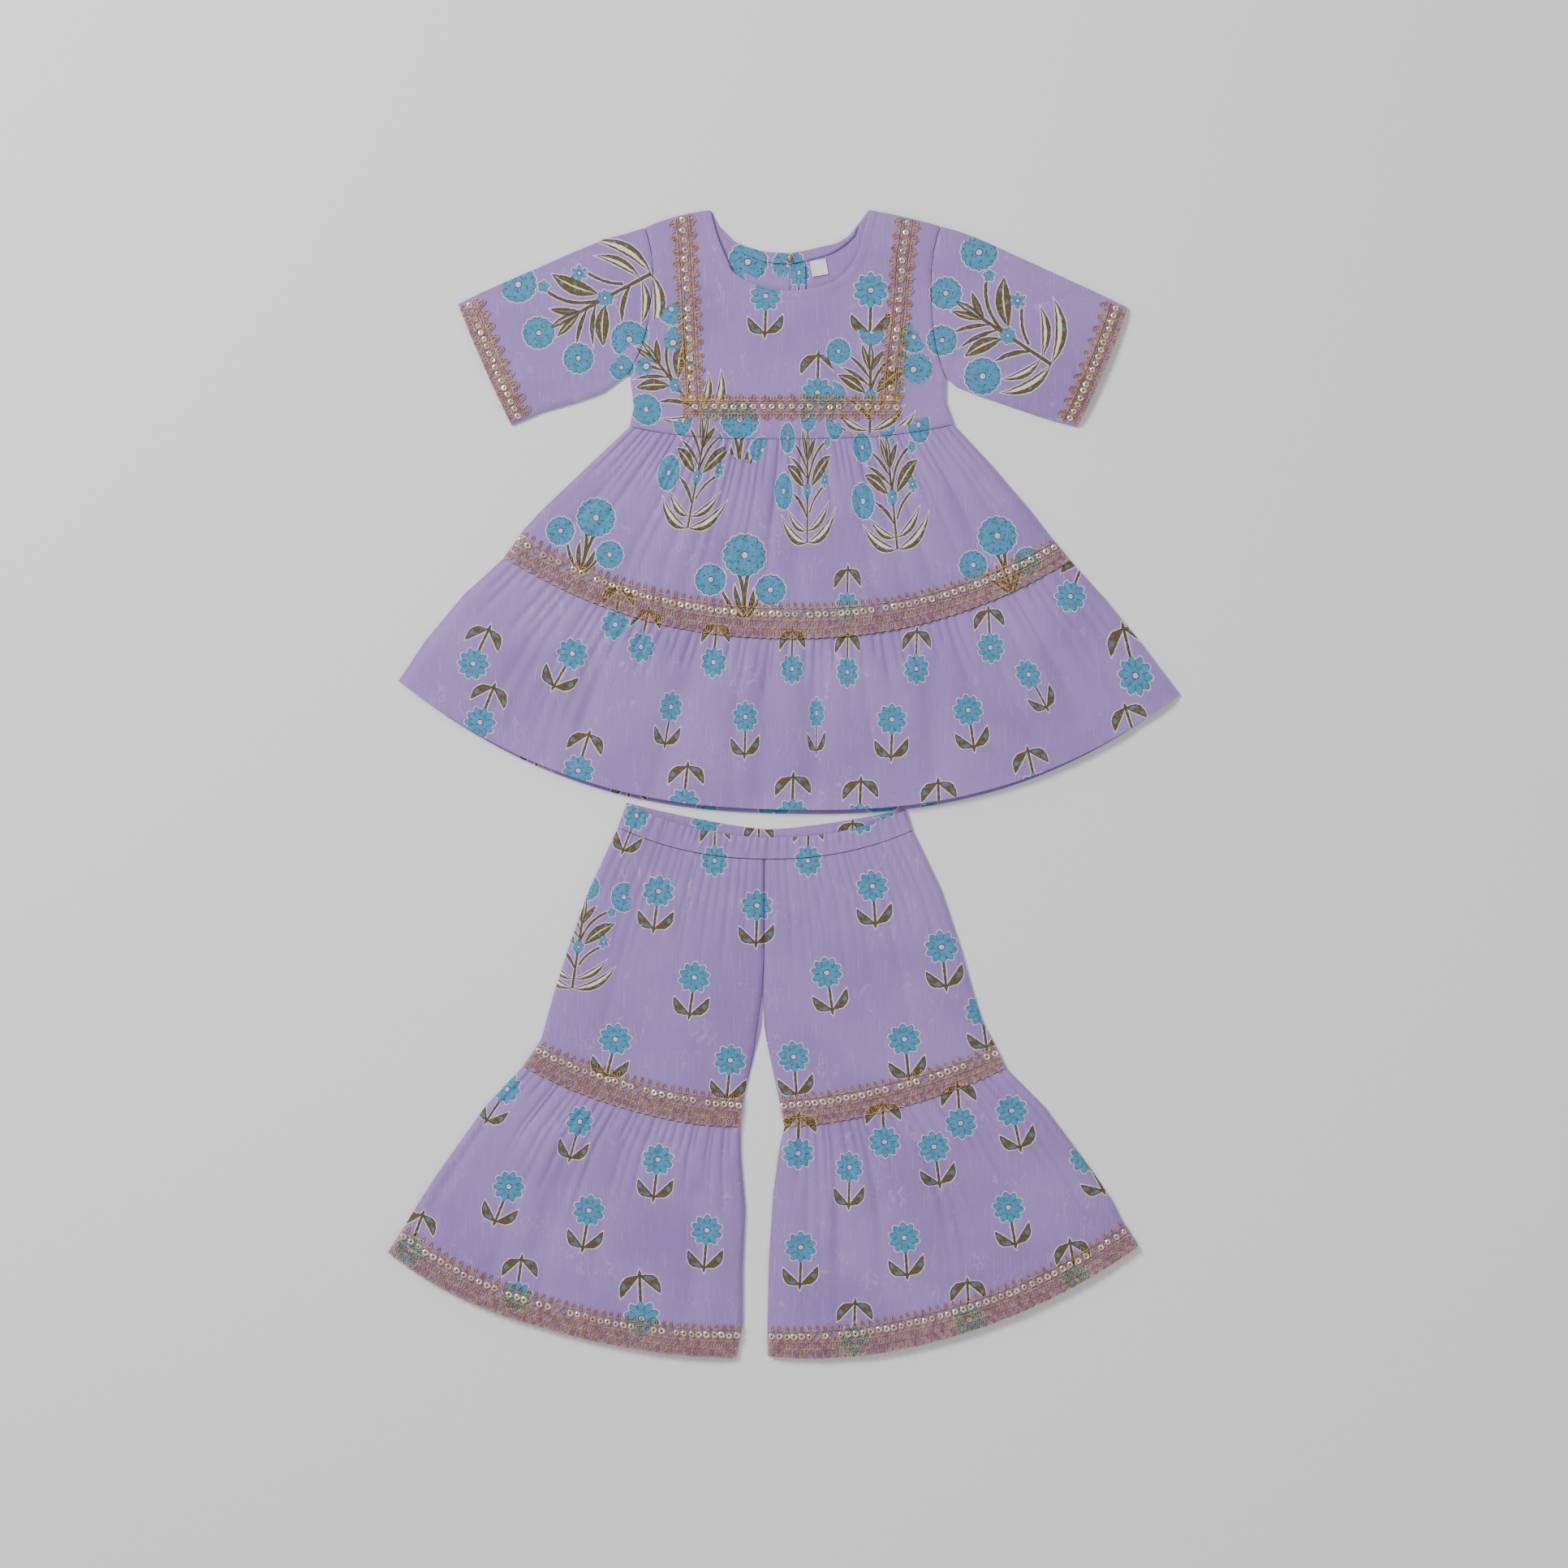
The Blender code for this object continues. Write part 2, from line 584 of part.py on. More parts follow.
def add_facing(name, rows):
    outline = [(row.neck_x, row.neck_y) for row in rows]
    outline += [(row.low_x, row.low_y) for row in reversed(rows)]
    return add_flat_outline(name, outline, FRONT_INSIDE, TRIM_WALL, COTTON)


def add_placket():
    outline = [
        (PLACKET_LEFT_X, PLACKET_TOP),
        (PLACKET_RIGHT_X, PLACKET_TOP),
        (PLACKET_RIGHT_X, PLACKET_BOTTOM),
        (PLACKET_LEFT_X, PLACKET_BOTTOM),
    ]
    return add_flat_outline("back_placket", outline, FRONT_INSIDE, TRIM_WALL, COTTON)


def add_button():
    solid = bmesh.new()
    bmesh.ops.create_uvsphere(solid, u_segments=12, v_segments=8, radius=BUTTON_WIDTH / 2 * MM)
    bmesh.ops.scale(solid, vec=(1.0, BUTTON_LENGTH / BUTTON_WIDTH, 1.0), verts=solid.verts)
    button = add_mesh("button", solid, GOLD_BEAD)
    rest = FRONT_INSIDE + TRIM_WALL + SEAM_GAP
    button.location = (SLIT_X * MM, BUTTON_Y * MM, (rest + BUTTON_WIDTH / 2) * MM)
    return button


def add_button_loop():
    """A thread that leaves the left facing, rounds the bead and comes back."""
    rest = FRONT_INSIDE + TRIM_WALL + SEAM_GAP + LOOP_THREAD / 2
    turns = 9
    around = []
    for k in range(turns):
        angle = math.radians(mix(125, -125, k / (turns - 1)))
        x = SLIT_X + LOOP_HALF_WIDTH * math.cos(angle)
        around.append((x, BUTTON_Y + LOOP_HALF_LENGTH * math.sin(angle)))
    route = [(LOOP_ROOT_X, BUTTON_Y + 1.4), *around, (LOOP_ROOT_X, BUTTON_Y - 1.4)]
    curve = bpy.data.curves.new("button_loop", "CURVE")
    curve.dimensions = "3D"
    curve.bevel_depth = LOOP_THREAD / 2 * MM
    curve.bevel_resolution = 1
    curve.use_fill_caps = True
    spline = curve.splines.new("POLY")
    spline.points.add(len(route) - 1)
    for point, (x, y) in zip(spline.points, route):
        point.co = (x * MM, y * MM, rest * MM, 1.0)
    return add_object("button_loop", curve, THREAD)


def add_label():
    solid = bmesh.new()
    bmesh.ops.create_cube(solid, size=1.0)
    bmesh.ops.scale(solid, vec=(LABEL_WIDTH * MM, LABEL_HEIGHT * MM, TRIM_WALL * MM), verts=solid.verts)
    label = add_mesh("size_label", solid, WHITE_SATIN)
    label.location = (LABEL_X * MM, LABEL_Y * MM, (FRONT_INSIDE + TRIM_WALL / 2) * MM)
    label.rotation_euler.z = math.radians(LABEL_TURN)
    return label


def sleeve_rise(station, s):
    x, y = on_station(station, s)
    return station.puff * (1 - abs(2 * s - 1) ** 4) * unpressed(x, y)


def sleeve_lines(station):
    """Outer and inner lines of one section, from the back layer's underarm edge round the fold to the front's."""
    length = math.hypot(station.top_x - station.low_x, station.top_y - station.low_y)
    lines = []
    for inner, folded in enumerate((FOLD_OUTER, FOLD_INNER)):
        back_z = WALL if inner else 0.0
        front_z = FRONT_INSIDE if inner else FRONT_INSIDE + WALL
        share = INSIDE_SHARE if inner else 1.0
        line = [(s, back_z) for s in reversed(LAYER_SAMPLES)]
        line += [(depth / length, z) for depth, z in folded]
        line += [(s, front_z + share * sleeve_rise(station, s)) for s in LAYER_SAMPLES]
        lines.append([(place, *on_station(station, s), z) for place, (s, z) in enumerate(line)])
    return lines


def seam_shift(stations, side):
    """The armhole end of a sleeve moved off the seam line, away from the bodice."""
    first = stations[0]
    shift = SEAM_GAP * side
    return (first._replace(top_x=first.top_x + shift, low_x=first.low_x + shift), *stations[1:])


def add_sleeve(name, stations, side):
    sections = [sleeve_lines(station) for station in seam_shift(stations, side)]
    outer = [section[0] for section in sections]
    inner = [section[1] for section in sections]
    return add_wall(name, outer, inner, COTTON)


def add_sleeve_lace(name, stations, side):
    """Lace over the cuff end of the sleeve's front layer, scalloped on its upper edge."""
    upper, lower = stations[SLEEVE_LACE_STATION : SLEEVE_LACE_STATION + 2]
    length = math.hypot(lower.top_x - lower.low_x, lower.top_y - lower.low_y)
    scallops = round(length / SLEEVE_SCALLOP_PITCH)
    samples = scallops * SCALLOP_SAMPLES
    width = math.hypot(lower.top_x - upper.top_x, lower.top_y - upper.top_y)
    start = 0.03
    scalloped = []
    for k in range(samples + 1):
        s = mix(start, 1.0, k / samples)
        dip = 1 - abs(math.sin(math.pi * k / SCALLOP_SAMPLES))
        scalloped.append((s, SLEEVE_SCALLOP_DEPTH / width * dip))
    plain = [mix(start, 1.0, k / scallops) for k in range(scallops + 1)]
    lines = [scalloped] + [[(s, share) for s in plain] for share in (0.35, 0.7, 1.0)]
    ridges = (0.0, LACE_RIDGE, LACE_RIDGE, 0.0)
    outer = []
    inner = []
    for line, ridge in zip(lines, ridges):
        points = []
        for s, share in line:
            station = in_steps((upper, lower), share)
            x, y = on_station(station, s)
            points.append((s, x, y, FRONT_INSIDE + WALL + sleeve_rise(station, s) + TRIM_GAP))
        outer.append([(s, x, y, z + TRIM_WALL + ridge) for s, x, y, z in points])
        inner.append(points)
    return add_wall(name, outer, inner, GOLD_LACE)


def shoulder_y(x):
    """The shoulder line's y, just below the seam, at a place across the bodice."""
    left = x < BODICE_MIDDLE_X
    ray = BODICE_RAYS[0] if left else BODICE_RAYS[-1]
    armhole = ARMHOLE_LEFT if left else ARMHOLE_RIGHT
    share = (x - ray.neck_x) / (armhole.shoulder_x - ray.neck_x)
    return on_ray(ray, share)[1] - 2 * SEAM_GAP


def scallop_reach(k):
    return YOKE_LACE_HALF_WIDTH - YOKE_SCALLOP_DEPTH * (1 - abs(math.sin(math.pi * k / SCALLOP_SAMPLES)))


def add_yoke_band(name, place, length, pitch):
    """A lace scalloped on both edges. place gives x and y from a share along it and an offset across it."""
    scallops = round(length / pitch)
    samples = scallops * SCALLOP_SAMPLES
    edge = [(k / samples, scallop_reach(k)) for k in range(samples + 1)]
    middle = [(k / scallops, 0.0) for k in range(scallops + 1)]
    lines = [[(t, -reach) for t, reach in edge], middle, edge]
    ridges = (0.0, LACE_RIDGE, 0.0)
    outer = []
    inner = []
    for line, ridge in zip(lines, ridges):
        points = []
        for t, offset in line:
            x, y = place(t, offset)
            points.append((t, x, y, FRONT_INSIDE + WALL + bodice_rise(x, y) + TRIM_GAP))
        outer.append([(t, x, y, z + TRIM_WALL + ridge) for t, x, y, z in points])
        inner.append(points)
    return add_wall(name, outer, inner, GOLD_LACE)


def add_yoke_side(name, line):
    bottom = YOKE_BOTTOM_Y + YOKE_LACE_HALF_WIDTH + SEAM_GAP
    top = line[0][0]

    def place(t, offset):
        y = mix(top, bottom, t)
        x = line_value(line, y) + offset
        return x, mix(shoulder_y(x), bottom, t)

    return add_yoke_band(name, place, top - bottom, YOKE_SIDE_PITCH)


def add_yoke_bottom():
    def place(t, offset):
        return mix(YOKE_BOTTOM_LEFT, YOKE_BOTTOM_RIGHT, t), YOKE_BOTTOM_Y + offset

    return add_yoke_band("yoke_lace_bottom", place, YOKE_BOTTOM_RIGHT - YOKE_BOTTOM_LEFT, YOKE_BOTTOM_PITCH)


def with_crotch(table, ends, side):
    """A leg's table with its inner ends moved to the back's crotch line."""
    rows = list(table)
    for index, (x, y) in ends.items():
        if side == "left":
            rows[index] = rows[index]._replace(right_x=x, right_y=y)
        else:
            rows[index] = rows[index]._replace(left_x=x, left_y=y)
    return rows


def build_kurta():
    add_bodice_front()
    add_flat_outline("bodice_back", bodice_back_outline(), 0.0, WALL, COTTON)
    add_facing("neck_facing_left", FACING_LEFT)
    add_facing("neck_facing_right", FACING_RIGHT)
    add_placket()
    add_button()
    add_button_loop()
    add_label()
    for name, stations, side in (("left", SLEEVE_LEFT, -1), ("right", SLEEVE_RIGHT, 1)):
        add_sleeve(f"sleeve_{name}", stations, side)
        add_sleeve_lace(f"sleeve_lace_{name}", stations, side)
    add_yoke_side("yoke_lace_left", YOKE_LINE_LEFT)
    add_yoke_bottom()
    add_yoke_side("yoke_lace_right", YOKE_LINE_RIGHT)
    skirt = Panel(SKIRT, SKIRT_SECTIONS, SKIRT_GATHERS)
    add_gathered("skirt_front", skirt)
    add_flat_back("skirt_back", SKIRT)
    add_panel_lace("skirt_lace", skirt)
    add_gathered("tier_front", Panel(TIER, TIER_SECTIONS, TIER_GATHERS))
    add_flat_back("tier_back", (*TIER[:-1], TIER_BACK_HEM))


def build_sharara():
    add_gathered("waistband_front", Panel(WAISTBAND, BAND_SECTIONS, BAND_GATHERS, BAND_WALL))
    add_flat_back("waistband_back", (WAISTBAND_BACK_TOP, WAISTBAND[1]))
    legs = (
        ("left", LEG_LEFT, BACK_CROTCH_LEFT, FLARE_LEFT),
        ("right", LEG_RIGHT, BACK_CROTCH_RIGHT, FLARE_RIGHT),
    )
    for side, leg_table, crotch, flare_table in legs:
        leg = Panel(leg_table, LEG_SECTIONS, LEG_GATHERS)
        add_gathered(f"leg_{side}_front", leg)
        add_flat_back(f"leg_{side}_back", with_crotch(leg_table, crotch, side))
        add_panel_lace(f"knee_lace_{side}", leg)
        flare = Panel(flare_table, FLARE_SECTIONS, FLARE_GATHERS)
        add_gathered(f"flare_{side}_front", flare)
        add_flat_back(f"flare_{side}_back", flare_table)
        add_panel_lace(f"hem_lace_{side}", flare)


for old in list(bpy.data.objects):
    bpy.data.objects.remove(old, do_unlink=True)

suit = bpy.data.collections.new("sharara_suit")
bpy.context.scene.collection.children.link(suit)
build_kurta()
build_sharara()
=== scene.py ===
"""The looks of a sharara suit of block-printed lavender cotton with gold sequin lace, laid out flat.
Tables and sizes are in millimetres unless they say otherwise, and the meshes in metres."""

import collections
import math

import bmesh
import bpy
import numpy as np
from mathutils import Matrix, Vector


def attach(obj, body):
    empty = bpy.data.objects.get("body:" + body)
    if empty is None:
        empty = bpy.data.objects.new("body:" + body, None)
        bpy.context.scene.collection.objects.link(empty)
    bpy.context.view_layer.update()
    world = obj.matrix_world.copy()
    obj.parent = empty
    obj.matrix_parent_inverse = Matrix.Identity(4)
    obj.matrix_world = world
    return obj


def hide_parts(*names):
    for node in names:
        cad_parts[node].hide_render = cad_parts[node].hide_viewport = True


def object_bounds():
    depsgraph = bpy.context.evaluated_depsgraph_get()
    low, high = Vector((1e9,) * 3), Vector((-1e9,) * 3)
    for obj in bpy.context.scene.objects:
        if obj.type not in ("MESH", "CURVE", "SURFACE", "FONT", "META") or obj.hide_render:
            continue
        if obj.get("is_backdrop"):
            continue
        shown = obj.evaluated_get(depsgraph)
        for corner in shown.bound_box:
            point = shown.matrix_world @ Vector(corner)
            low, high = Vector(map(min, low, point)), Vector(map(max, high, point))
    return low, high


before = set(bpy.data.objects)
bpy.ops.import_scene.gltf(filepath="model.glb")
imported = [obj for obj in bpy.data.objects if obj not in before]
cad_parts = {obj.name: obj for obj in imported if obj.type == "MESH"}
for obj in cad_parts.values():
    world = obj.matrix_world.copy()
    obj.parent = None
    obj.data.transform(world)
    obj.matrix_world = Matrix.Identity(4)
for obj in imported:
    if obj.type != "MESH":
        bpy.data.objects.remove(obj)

cad_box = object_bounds()
MM = 0.001

# Layers of cloth
THIN = 0.7
FRONT_TOP = 2.7
BACK_TOP = 1.3
SEAM_GAP = 0.3
BACK_LACE_LIFT = 0.62
LACE_LIFT = 0.3

# A row is one section across a panel, from its left end to its right end. It hangs below its chord by sag,
# deepest at the share low of its width, and a higher fullness makes its ends rounder.
Row = collections.namedtuple("Row", "left_x left_y right_x right_y sag fullness low", defaults=(2.2, 0.5))

WAIST = Row(-104.6, 241.8, 115.0, 243.2, 9.2, 3.0)
SKIRT = (
    WAIST,
    Row(-130.6, 217.3, 139.4, 217.3, 22.0, 2.6),
    Row(-165.3, 184.3, 167.5, 184.3, 38.5, 2.4),
    Row(-176.3, 172.2, 180.7, 167.2, 46.5, 2.3),
    Row(-189.5, 153.5, 193.9, 151.3, 54.0),
)
TIER = (
    Row(-189.5, 153.1, 194.2, 150.9, 54.0),
    Row(-217.5, 127.6, 216.4, 126.5, 65.0),
    Row(-243.4, 96.3, 241.2, 96.3, 75.0),
    Row(-261.0, 69.9, 268.2, 60.5, 82.5, 2.45),
)
TIER_BACK = (*TIER[:-1], Row(-260.6, 69.9, 267.8, 60.5, 85.3, 2.45))
WAISTBAND = (
    Row(-105.9, -13.2, 82.8, -17.5, 20.6),
    Row(-112.5, -29.1, 87.2, -31.1, 20.4),
)
WAISTBAND_BACK = (Row(-106.3, -12.9, 82.8, -17.5, 15.6, 1.35), WAISTBAND[1])
LEG_LEFT = (
    Row(-112.5, -29.6, -13.3, -51.0, 5.8, 2.0, 0.48),
    Row(-131.7, -71.0, -13.5, -86.4, 3.9),
    Row(-146.6, -112.8, -13.9, -121.0, 4.4),
    Row(-155.4, -140.3, -15.4, -141.4, 5.5),
    Row(-160.9, -160.1, -20.6, -178.8, 5.5),
    Row(-164.5, -173.3, -27.0, -210.1, 6.5),
    Row(-176.8, -190.9, -29.4, -232.1, 9.4),
)
LEG_RIGHT = (
    Row(-12.8, -51.0, 87.2, -31.6, 5.8, 2.0, 0.52),
    Row(-13.0, -85.3, 106.4, -71.5, 3.3),
    Row(-13.4, -121.0, 120.2, -112.8, 4.4),
    Row(-13.6, -144.7, 127.9, -140.3, 5.5),
    Row(-10.5, -178.8, 134.5, -161.2, 5.5),
    Row(-4.1, -210.1, 142.2, -175.5, 6.3),
    Row(0.3, -232.1, 150.4, -192.0, 7.7),
)
BACK_CROTCH_LEFT = {2: (-14.4, -121.0), 3: (-14.6, -146.0), 4: (-15.6, -166.0)}
BACK_CROTCH_RIGHT = {2: (-13.9, -121.0), 3: (-14.1, -146.0), 4: (-13.4, -166.0)}
FLARE_LEFT = (
    Row(-176.8, -191.3, -29.4, -232.5, 9.4),
    Row(-202.7, -218.9, -29.2, -253.0, 11.0),
    Row(-232.9, -261.3, -26.1, -288.8, 14.0),
    Row(-245.6, -280.5, -27.8, -327.3, 16.0),
    Row(-255.8, -297.6, -27.8, -364.7, 19.5, 2.2, 0.42),
    Row(-268.2, -317.1, -32.2, -388.3, 19.0, 2.2, 0.4),
)
FLARE_RIGHT = (
    Row(0.3, -232.5, 150.4, -192.4, 7.7),
    Row(-3.0, -245.9, 176.3, -218.4, 10.0),
    Row(-7.4, -277.8, 208.2, -261.3, 13.0),
    Row(-10.2, -321.8, 223.0, -283.3, 16.0),
    Row(-11.3, -366.4, 228.5, -294.8, 20.0, 2.2, 0.55),
    Row(-11.0, -387.1, 240.1, -312.7, 23.7, 2.1, 0.5),
)

# How a gathered panel stands: the number of gathers, their height at the gathered edge and at the far edge,
# the share of them that run right down, the billow at the middle and far edge, and its samples
Fullness = collections.namedtuple("Fullness", "gathers top low long billow hem columns rows seed")
SKIRT_CLOTH = Fullness(46, 1.9, 1.1, 0.4, 2.2, 0.9, 322, 42, 3)
TIER_CLOTH = Fullness(60, 1.8, 1.5, 0.3, 3.0, 2.6, 420, 40, 5)
BAND_CLOTH = Fullness(38, 1.5, 1.3, 1.0, 0.5, 0.3, 342, 12, 7)
LEG_CLOTH = Fullness(19, 1.2, 0.5, 0.12, 1.6, 0.7, 120, 56, 11)
FLARE_CLOTH = Fullness(28, 1.8, 1.1, 0.35, 2.6, 1.8, 196, 48, 13)

# The main creases: a trough, or a ridge where depth is negative, along a line.
Crease = collections.namedtuple("Crease", "start_x start_y end_x end_y width depth")
CREASES = (
    Crease(-78.4, 234.3, -92.1, 215.0, 7.0, 0.7),
    Crease(-28.9, 232.6, -44.8, 150.0, 7.0, 0.8),
    Crease(-0.8, 228.8, -4.7, 180.0, 6.0, 0.7),
    Crease(7.4, 182.0, 9.1, 124.0, 7.0, 0.7),
    Crease(106.4, 225.5, 129.5, 160.0, 7.0, 0.8),
    Crease(-127.3, 83.6, -134.5, 41.3, 9.0, 0.8),
    Crease(-56.9, 95.7, -85.0, -0.5, 10.0, 0.9),
    Crease(-9.6, 92.4, -15.1, -7.7, 9.0, 0.85),
    Crease(16.8, 83.6, 19.5, -7.2, 9.0, 0.8),
    Crease(99.3, 74.3, 103.1, 8.3, 9.0, 0.8),
    Crease(182.0, 88.0, 198.0, 48.0, 9.0, 0.7),
    Crease(-148.8, -257.4, -166.4, -313.5, 8.0, 0.8),
    Crease(-59.1, -278.3, -61.3, -348.7, 8.0, 0.85),
    Crease(37.1, -250.3, 38.8, -316.3, 8.0, 0.85),
    Crease(56.9, -236.0, 67.4, -284.4, 7.0, 0.8),
    Crease(107.0, -270.1, 126.8, -313.0, 8.0, 0.8),
    Crease(-104.0, 280.0, -132.0, 306.0, 6.0, 0.9),
    Crease(-112.0, 273.0, -152.0, 268.0, 6.0, 0.7),
    Crease(109.0, 276.0, 128.0, 300.0, 6.0, 0.9),
)

Armhole = collections.namedtuple("Armhole", "shoulder_x shoulder_y underarm_x underarm_y bow")
ARMHOLE_LEFT = Armhole(-94.3, 376.6, -104.8, 278.3, 9.5)
ARMHOLE_RIGHT = Armhole(105.9, 377.6, 109.7, 275.0, -8.0)
ARMHOLE_FULLNESS = 2.6
SIDE_LEFT = (-101.6, 255.0)
SIDE_RIGHT = (109.2, 259.1)

# Rays of the bodice front, from its neck edge to a place along a seam. rise lifts a shoulder line's middle.
Ray = collections.namedtuple("Ray", "neck_x neck_y seam along rise", defaults=(0.0,))
BODICE_RAYS = (
    Ray(-49.8, 388.4, "left armhole", 0.0, 1.9),
    Ray(-48.0, 381.0, "left armhole", 0.07, 1.0),
    Ray(-46.0, 373.6, "left armhole", 0.15),
    Ray(-43.1, 365.3, "left armhole", 0.3),
    Ray(-39.1, 355.9, "left armhole", 0.48),
    Ray(-35.7, 348.2, "left armhole", 0.7),
    Ray(-31.6, 344.4, "left armhole", 0.86),
    Ray(-28.3, 342.1, "left side", 0.0),
    Ray(-24.5, 340.0, "left side", 0.5),
    Ray(-20.1, 338.3, "waist", 0.0),
    Ray(-13.0, 335.8, "waist", 0.12),
    Ray(-6.3, 334.4, "waist", 0.25),
    Ray(-1.0, 334.0, "waist", 0.38),
    Ray(4.7, 333.9, "waist", 0.5),
    Ray(9.5, 334.1, "waist", 0.62),
    Ray(15.0, 334.8, "waist", 0.75),
    Ray(23.9, 336.6, "waist", 0.88),
    Ray(29.0, 338.5, "waist", 1.0),
    Ray(33.8, 340.5, "right side", 0.5),
    Ray(37.3, 342.9, "right side", 0.0),
    Ray(40.4, 345.4, "right armhole", 0.86),
    Ray(45.9, 352.0, "right armhole", 0.7),
    Ray(50.3, 360.3, "right armhole", 0.48),
    Ray(52.5, 368.2, "right armhole", 0.3),
    Ray(55.2, 378.5, "right armhole", 0.15),
    Ray(56.6, 383.8, "right armhole", 0.07, 0.3),
    Ray(57.5, 388.6, "right armhole", 0.0, 0.7),
)
RAY_SPLITS = 6
RAY_SAMPLES = 44
BODICE_RISE = 1.5
BODICE_MIDDLE = (4.0, 318.0)
BODICE_REACH = (115.0, 82.0)
BACK_NECK_LEFT = ((-49.8, 388.4), (-43.7, 377.5), (-34.4, 368.2), (-28.9, 365.2), (-19.0, 361.9), (-14.0, 360.6))
BACK_NECK_RIGHT = ((19.0, 362.2), (35.9, 366.4), (44.3, 371.4), (57.5, 388.6))
SLIT_X = 3.85
SLIT_TOP = 359.4
SLIT_BOTTOM = 310.0
SLIT_WIDTH = 1.3
Facing = collections.namedtuple("Facing", "neck_x neck_y low_x low_y")
FACING_LEFT = (
    Facing(3.0, 359.4, 3.0, 352.4),
    Facing(-6.0, 359.9, -5.6, 352.9),
    Facing(-14.0, 360.6, -12.8, 353.7),
    Facing(-19.0, 361.9, -17.2, 355.1),
    Facing(-28.9, 365.2, -26.2, 358.8),
    Facing(-34.4, 368.2, -31.0, 362.0),
    Facing(-39.5, 373.3, -36.4, 367.0),
    Facing(-43.4, 377.2, -41.2, 372.4),
)
FACING_RIGHT = (
    Facing(4.8, 359.4, 4.8, 352.4),
    Facing(12.0, 360.8, 11.4, 353.8),
    Facing(19.0, 362.2, 17.6, 355.4),
    Facing(27.5, 364.3, 25.8, 357.5),
    Facing(35.9, 366.4, 32.8, 360.1),
    Facing(44.3, 371.4, 41.0, 365.4),
    Facing(49.4, 378.0, 47.8, 371.8),
)
PLACKET = (Facing(4.8, 352.1, 4.8, 306.0), Facing(9.6, 352.1, 9.6, 306.0), Facing(14.4, 352.1, 14.4, 306.0))
FACING_LIFT = 1.62
FACING_THICKNESS = 0.6

# Sleeves, folded along the top edge. A station is one section from the fold down to the underarm seam.
Station = collections.namedtuple("Station", "top_x top_y low_x low_y bow puff")
SLEEVE_LEFT = (
    Station(-94.6, 376.6, -105.1, 278.3, 9.5, 0.6),
    Station(-109.0, 372.2, -112.5, 272.8, 5.5, 1.5),
    Station(-121.5, 369.1, -122.5, 265.3, 3.0, 2.0),
    Station(-143.8, 359.7, -137.8, 259.6, 1.0, 2.2),
    Station(-185.1, 341.6, -164.2, 251.9, 0.0, 1.9),
    Station(-204.4, 333.1, -169.5, 249.6, -1.2, 1.6),
    Station(-220.8, 325.1, -184.5, 243.1, -1.2, 1.4),
)
SLEEVE_RIGHT = (
    Station(106.2, 377.6, 110.0, 275.0, -8.0, 0.6),
    Station(118.0, 374.4, 116.3, 269.4, -5.5, 1.4),
    Station(131.2, 369.6, 128.4, 264.4, -3.5, 1.9),
    Station(162.5, 355.3, 154.8, 255.2, -1.0, 2.2),
    Station(199.9, 338.3, 177.9, 247.5, 0.0, 1.9),
    Station(216.2, 330.8, 182.8, 246.1, 2.0, 1.6),
    Station(232.4, 322.9, 198.3, 242.0, 2.0, 1.4),
)
NECK_STITCH_DEPTH = 4.9
BUTTON_Y = 355.9
BUTTON_Z = 4.2
BUTTON_WIDTH = 2.8
BUTTON_LENGTH = 5.2
LOOP_HALF_WIDTH = 2.4
LOOP_HALF_LENGTH = 3.6
LOOP_ROOT_X = -1.2
LABEL_X = 23.7
LABEL_Y = 349.6
LABEL_WIDTH = 11.0
LABEL_HEIGHT = 10.6
LABEL_TURN = 10.0
SLEEVE_LACE_STATION = 5
SLEEVE_ROWS = 64
SLEEVE_SAMPLES = 44
FOLD_RADIUS = 1.35
FOLD_STEPS = 8

# Centre lines of the yoke's lace, down from the shoulder seam, and its bottom run
YOKE_LINE_LEFT = ((383.4, -69.3), (365.8, -67.4), (326.7, -65.2), (291.5, -63.5), (240.0, -60.6))
YOKE_LINE_RIGHT = ((382.3, 83.9), (353.7, 80.0), (320.1, 77.8), (286.6, 74.0), (240.0, 69.8))
YOKE_HALF_WIDTH = 9.0
YOKE_BOTTOM_Y = 255.2
YOKE_BOTTOM_LEFT = -69.5
YOKE_BOTTOM_RIGHT = 79.5

# Size of a pixel of the photograph, and the pixel that lies over the origin
PHOTO_MM = 0.55
PHOTO_MIDDLE_X = 966.5
PHOTO_MIDDLE_Y = 965.0

# Camera, in metres and millimetres of lens
CAMERA_HEIGHT = 2.509
CAMERA_LENS = 85.0
CAMERA_SENSOR = 36.0


def mix(first, second, share):
    return first + (second - first) * share


def in_steps(table, at):
    """Rows of a table at places counted along it, as one namedtuple of arrays."""
    index = np.minimum(np.asarray(at, float).astype(int), len(table) - 2)
    share = at - index
    columns = [np.array(column, float) for column in zip(*table)]
    return type(table[0])(*(mix(column[index], column[index + 1], share) for column in columns))


def on_row(row, u):
    before = u / row.low - 1
    after = (u - row.low) / (1 - row.low)
    drop = row.sag * (1 - np.abs(np.where(u < row.low, before, after)) ** row.fullness)
    return mix(row.left_x, row.right_x, u), mix(row.left_y, row.right_y, u) - drop


def on_station(station, s):
    bowed = station.bow * (1 - np.abs(2 * s - 1) ** ARMHOLE_FULLNESS)
    return mix(station.top_x, station.low_x, s) + bowed, mix(station.top_y, station.low_y, s)


def soft_step(value):
    value = np.clip(value, 0.0, 1.0)
    return value * value * (3 - 2 * value)


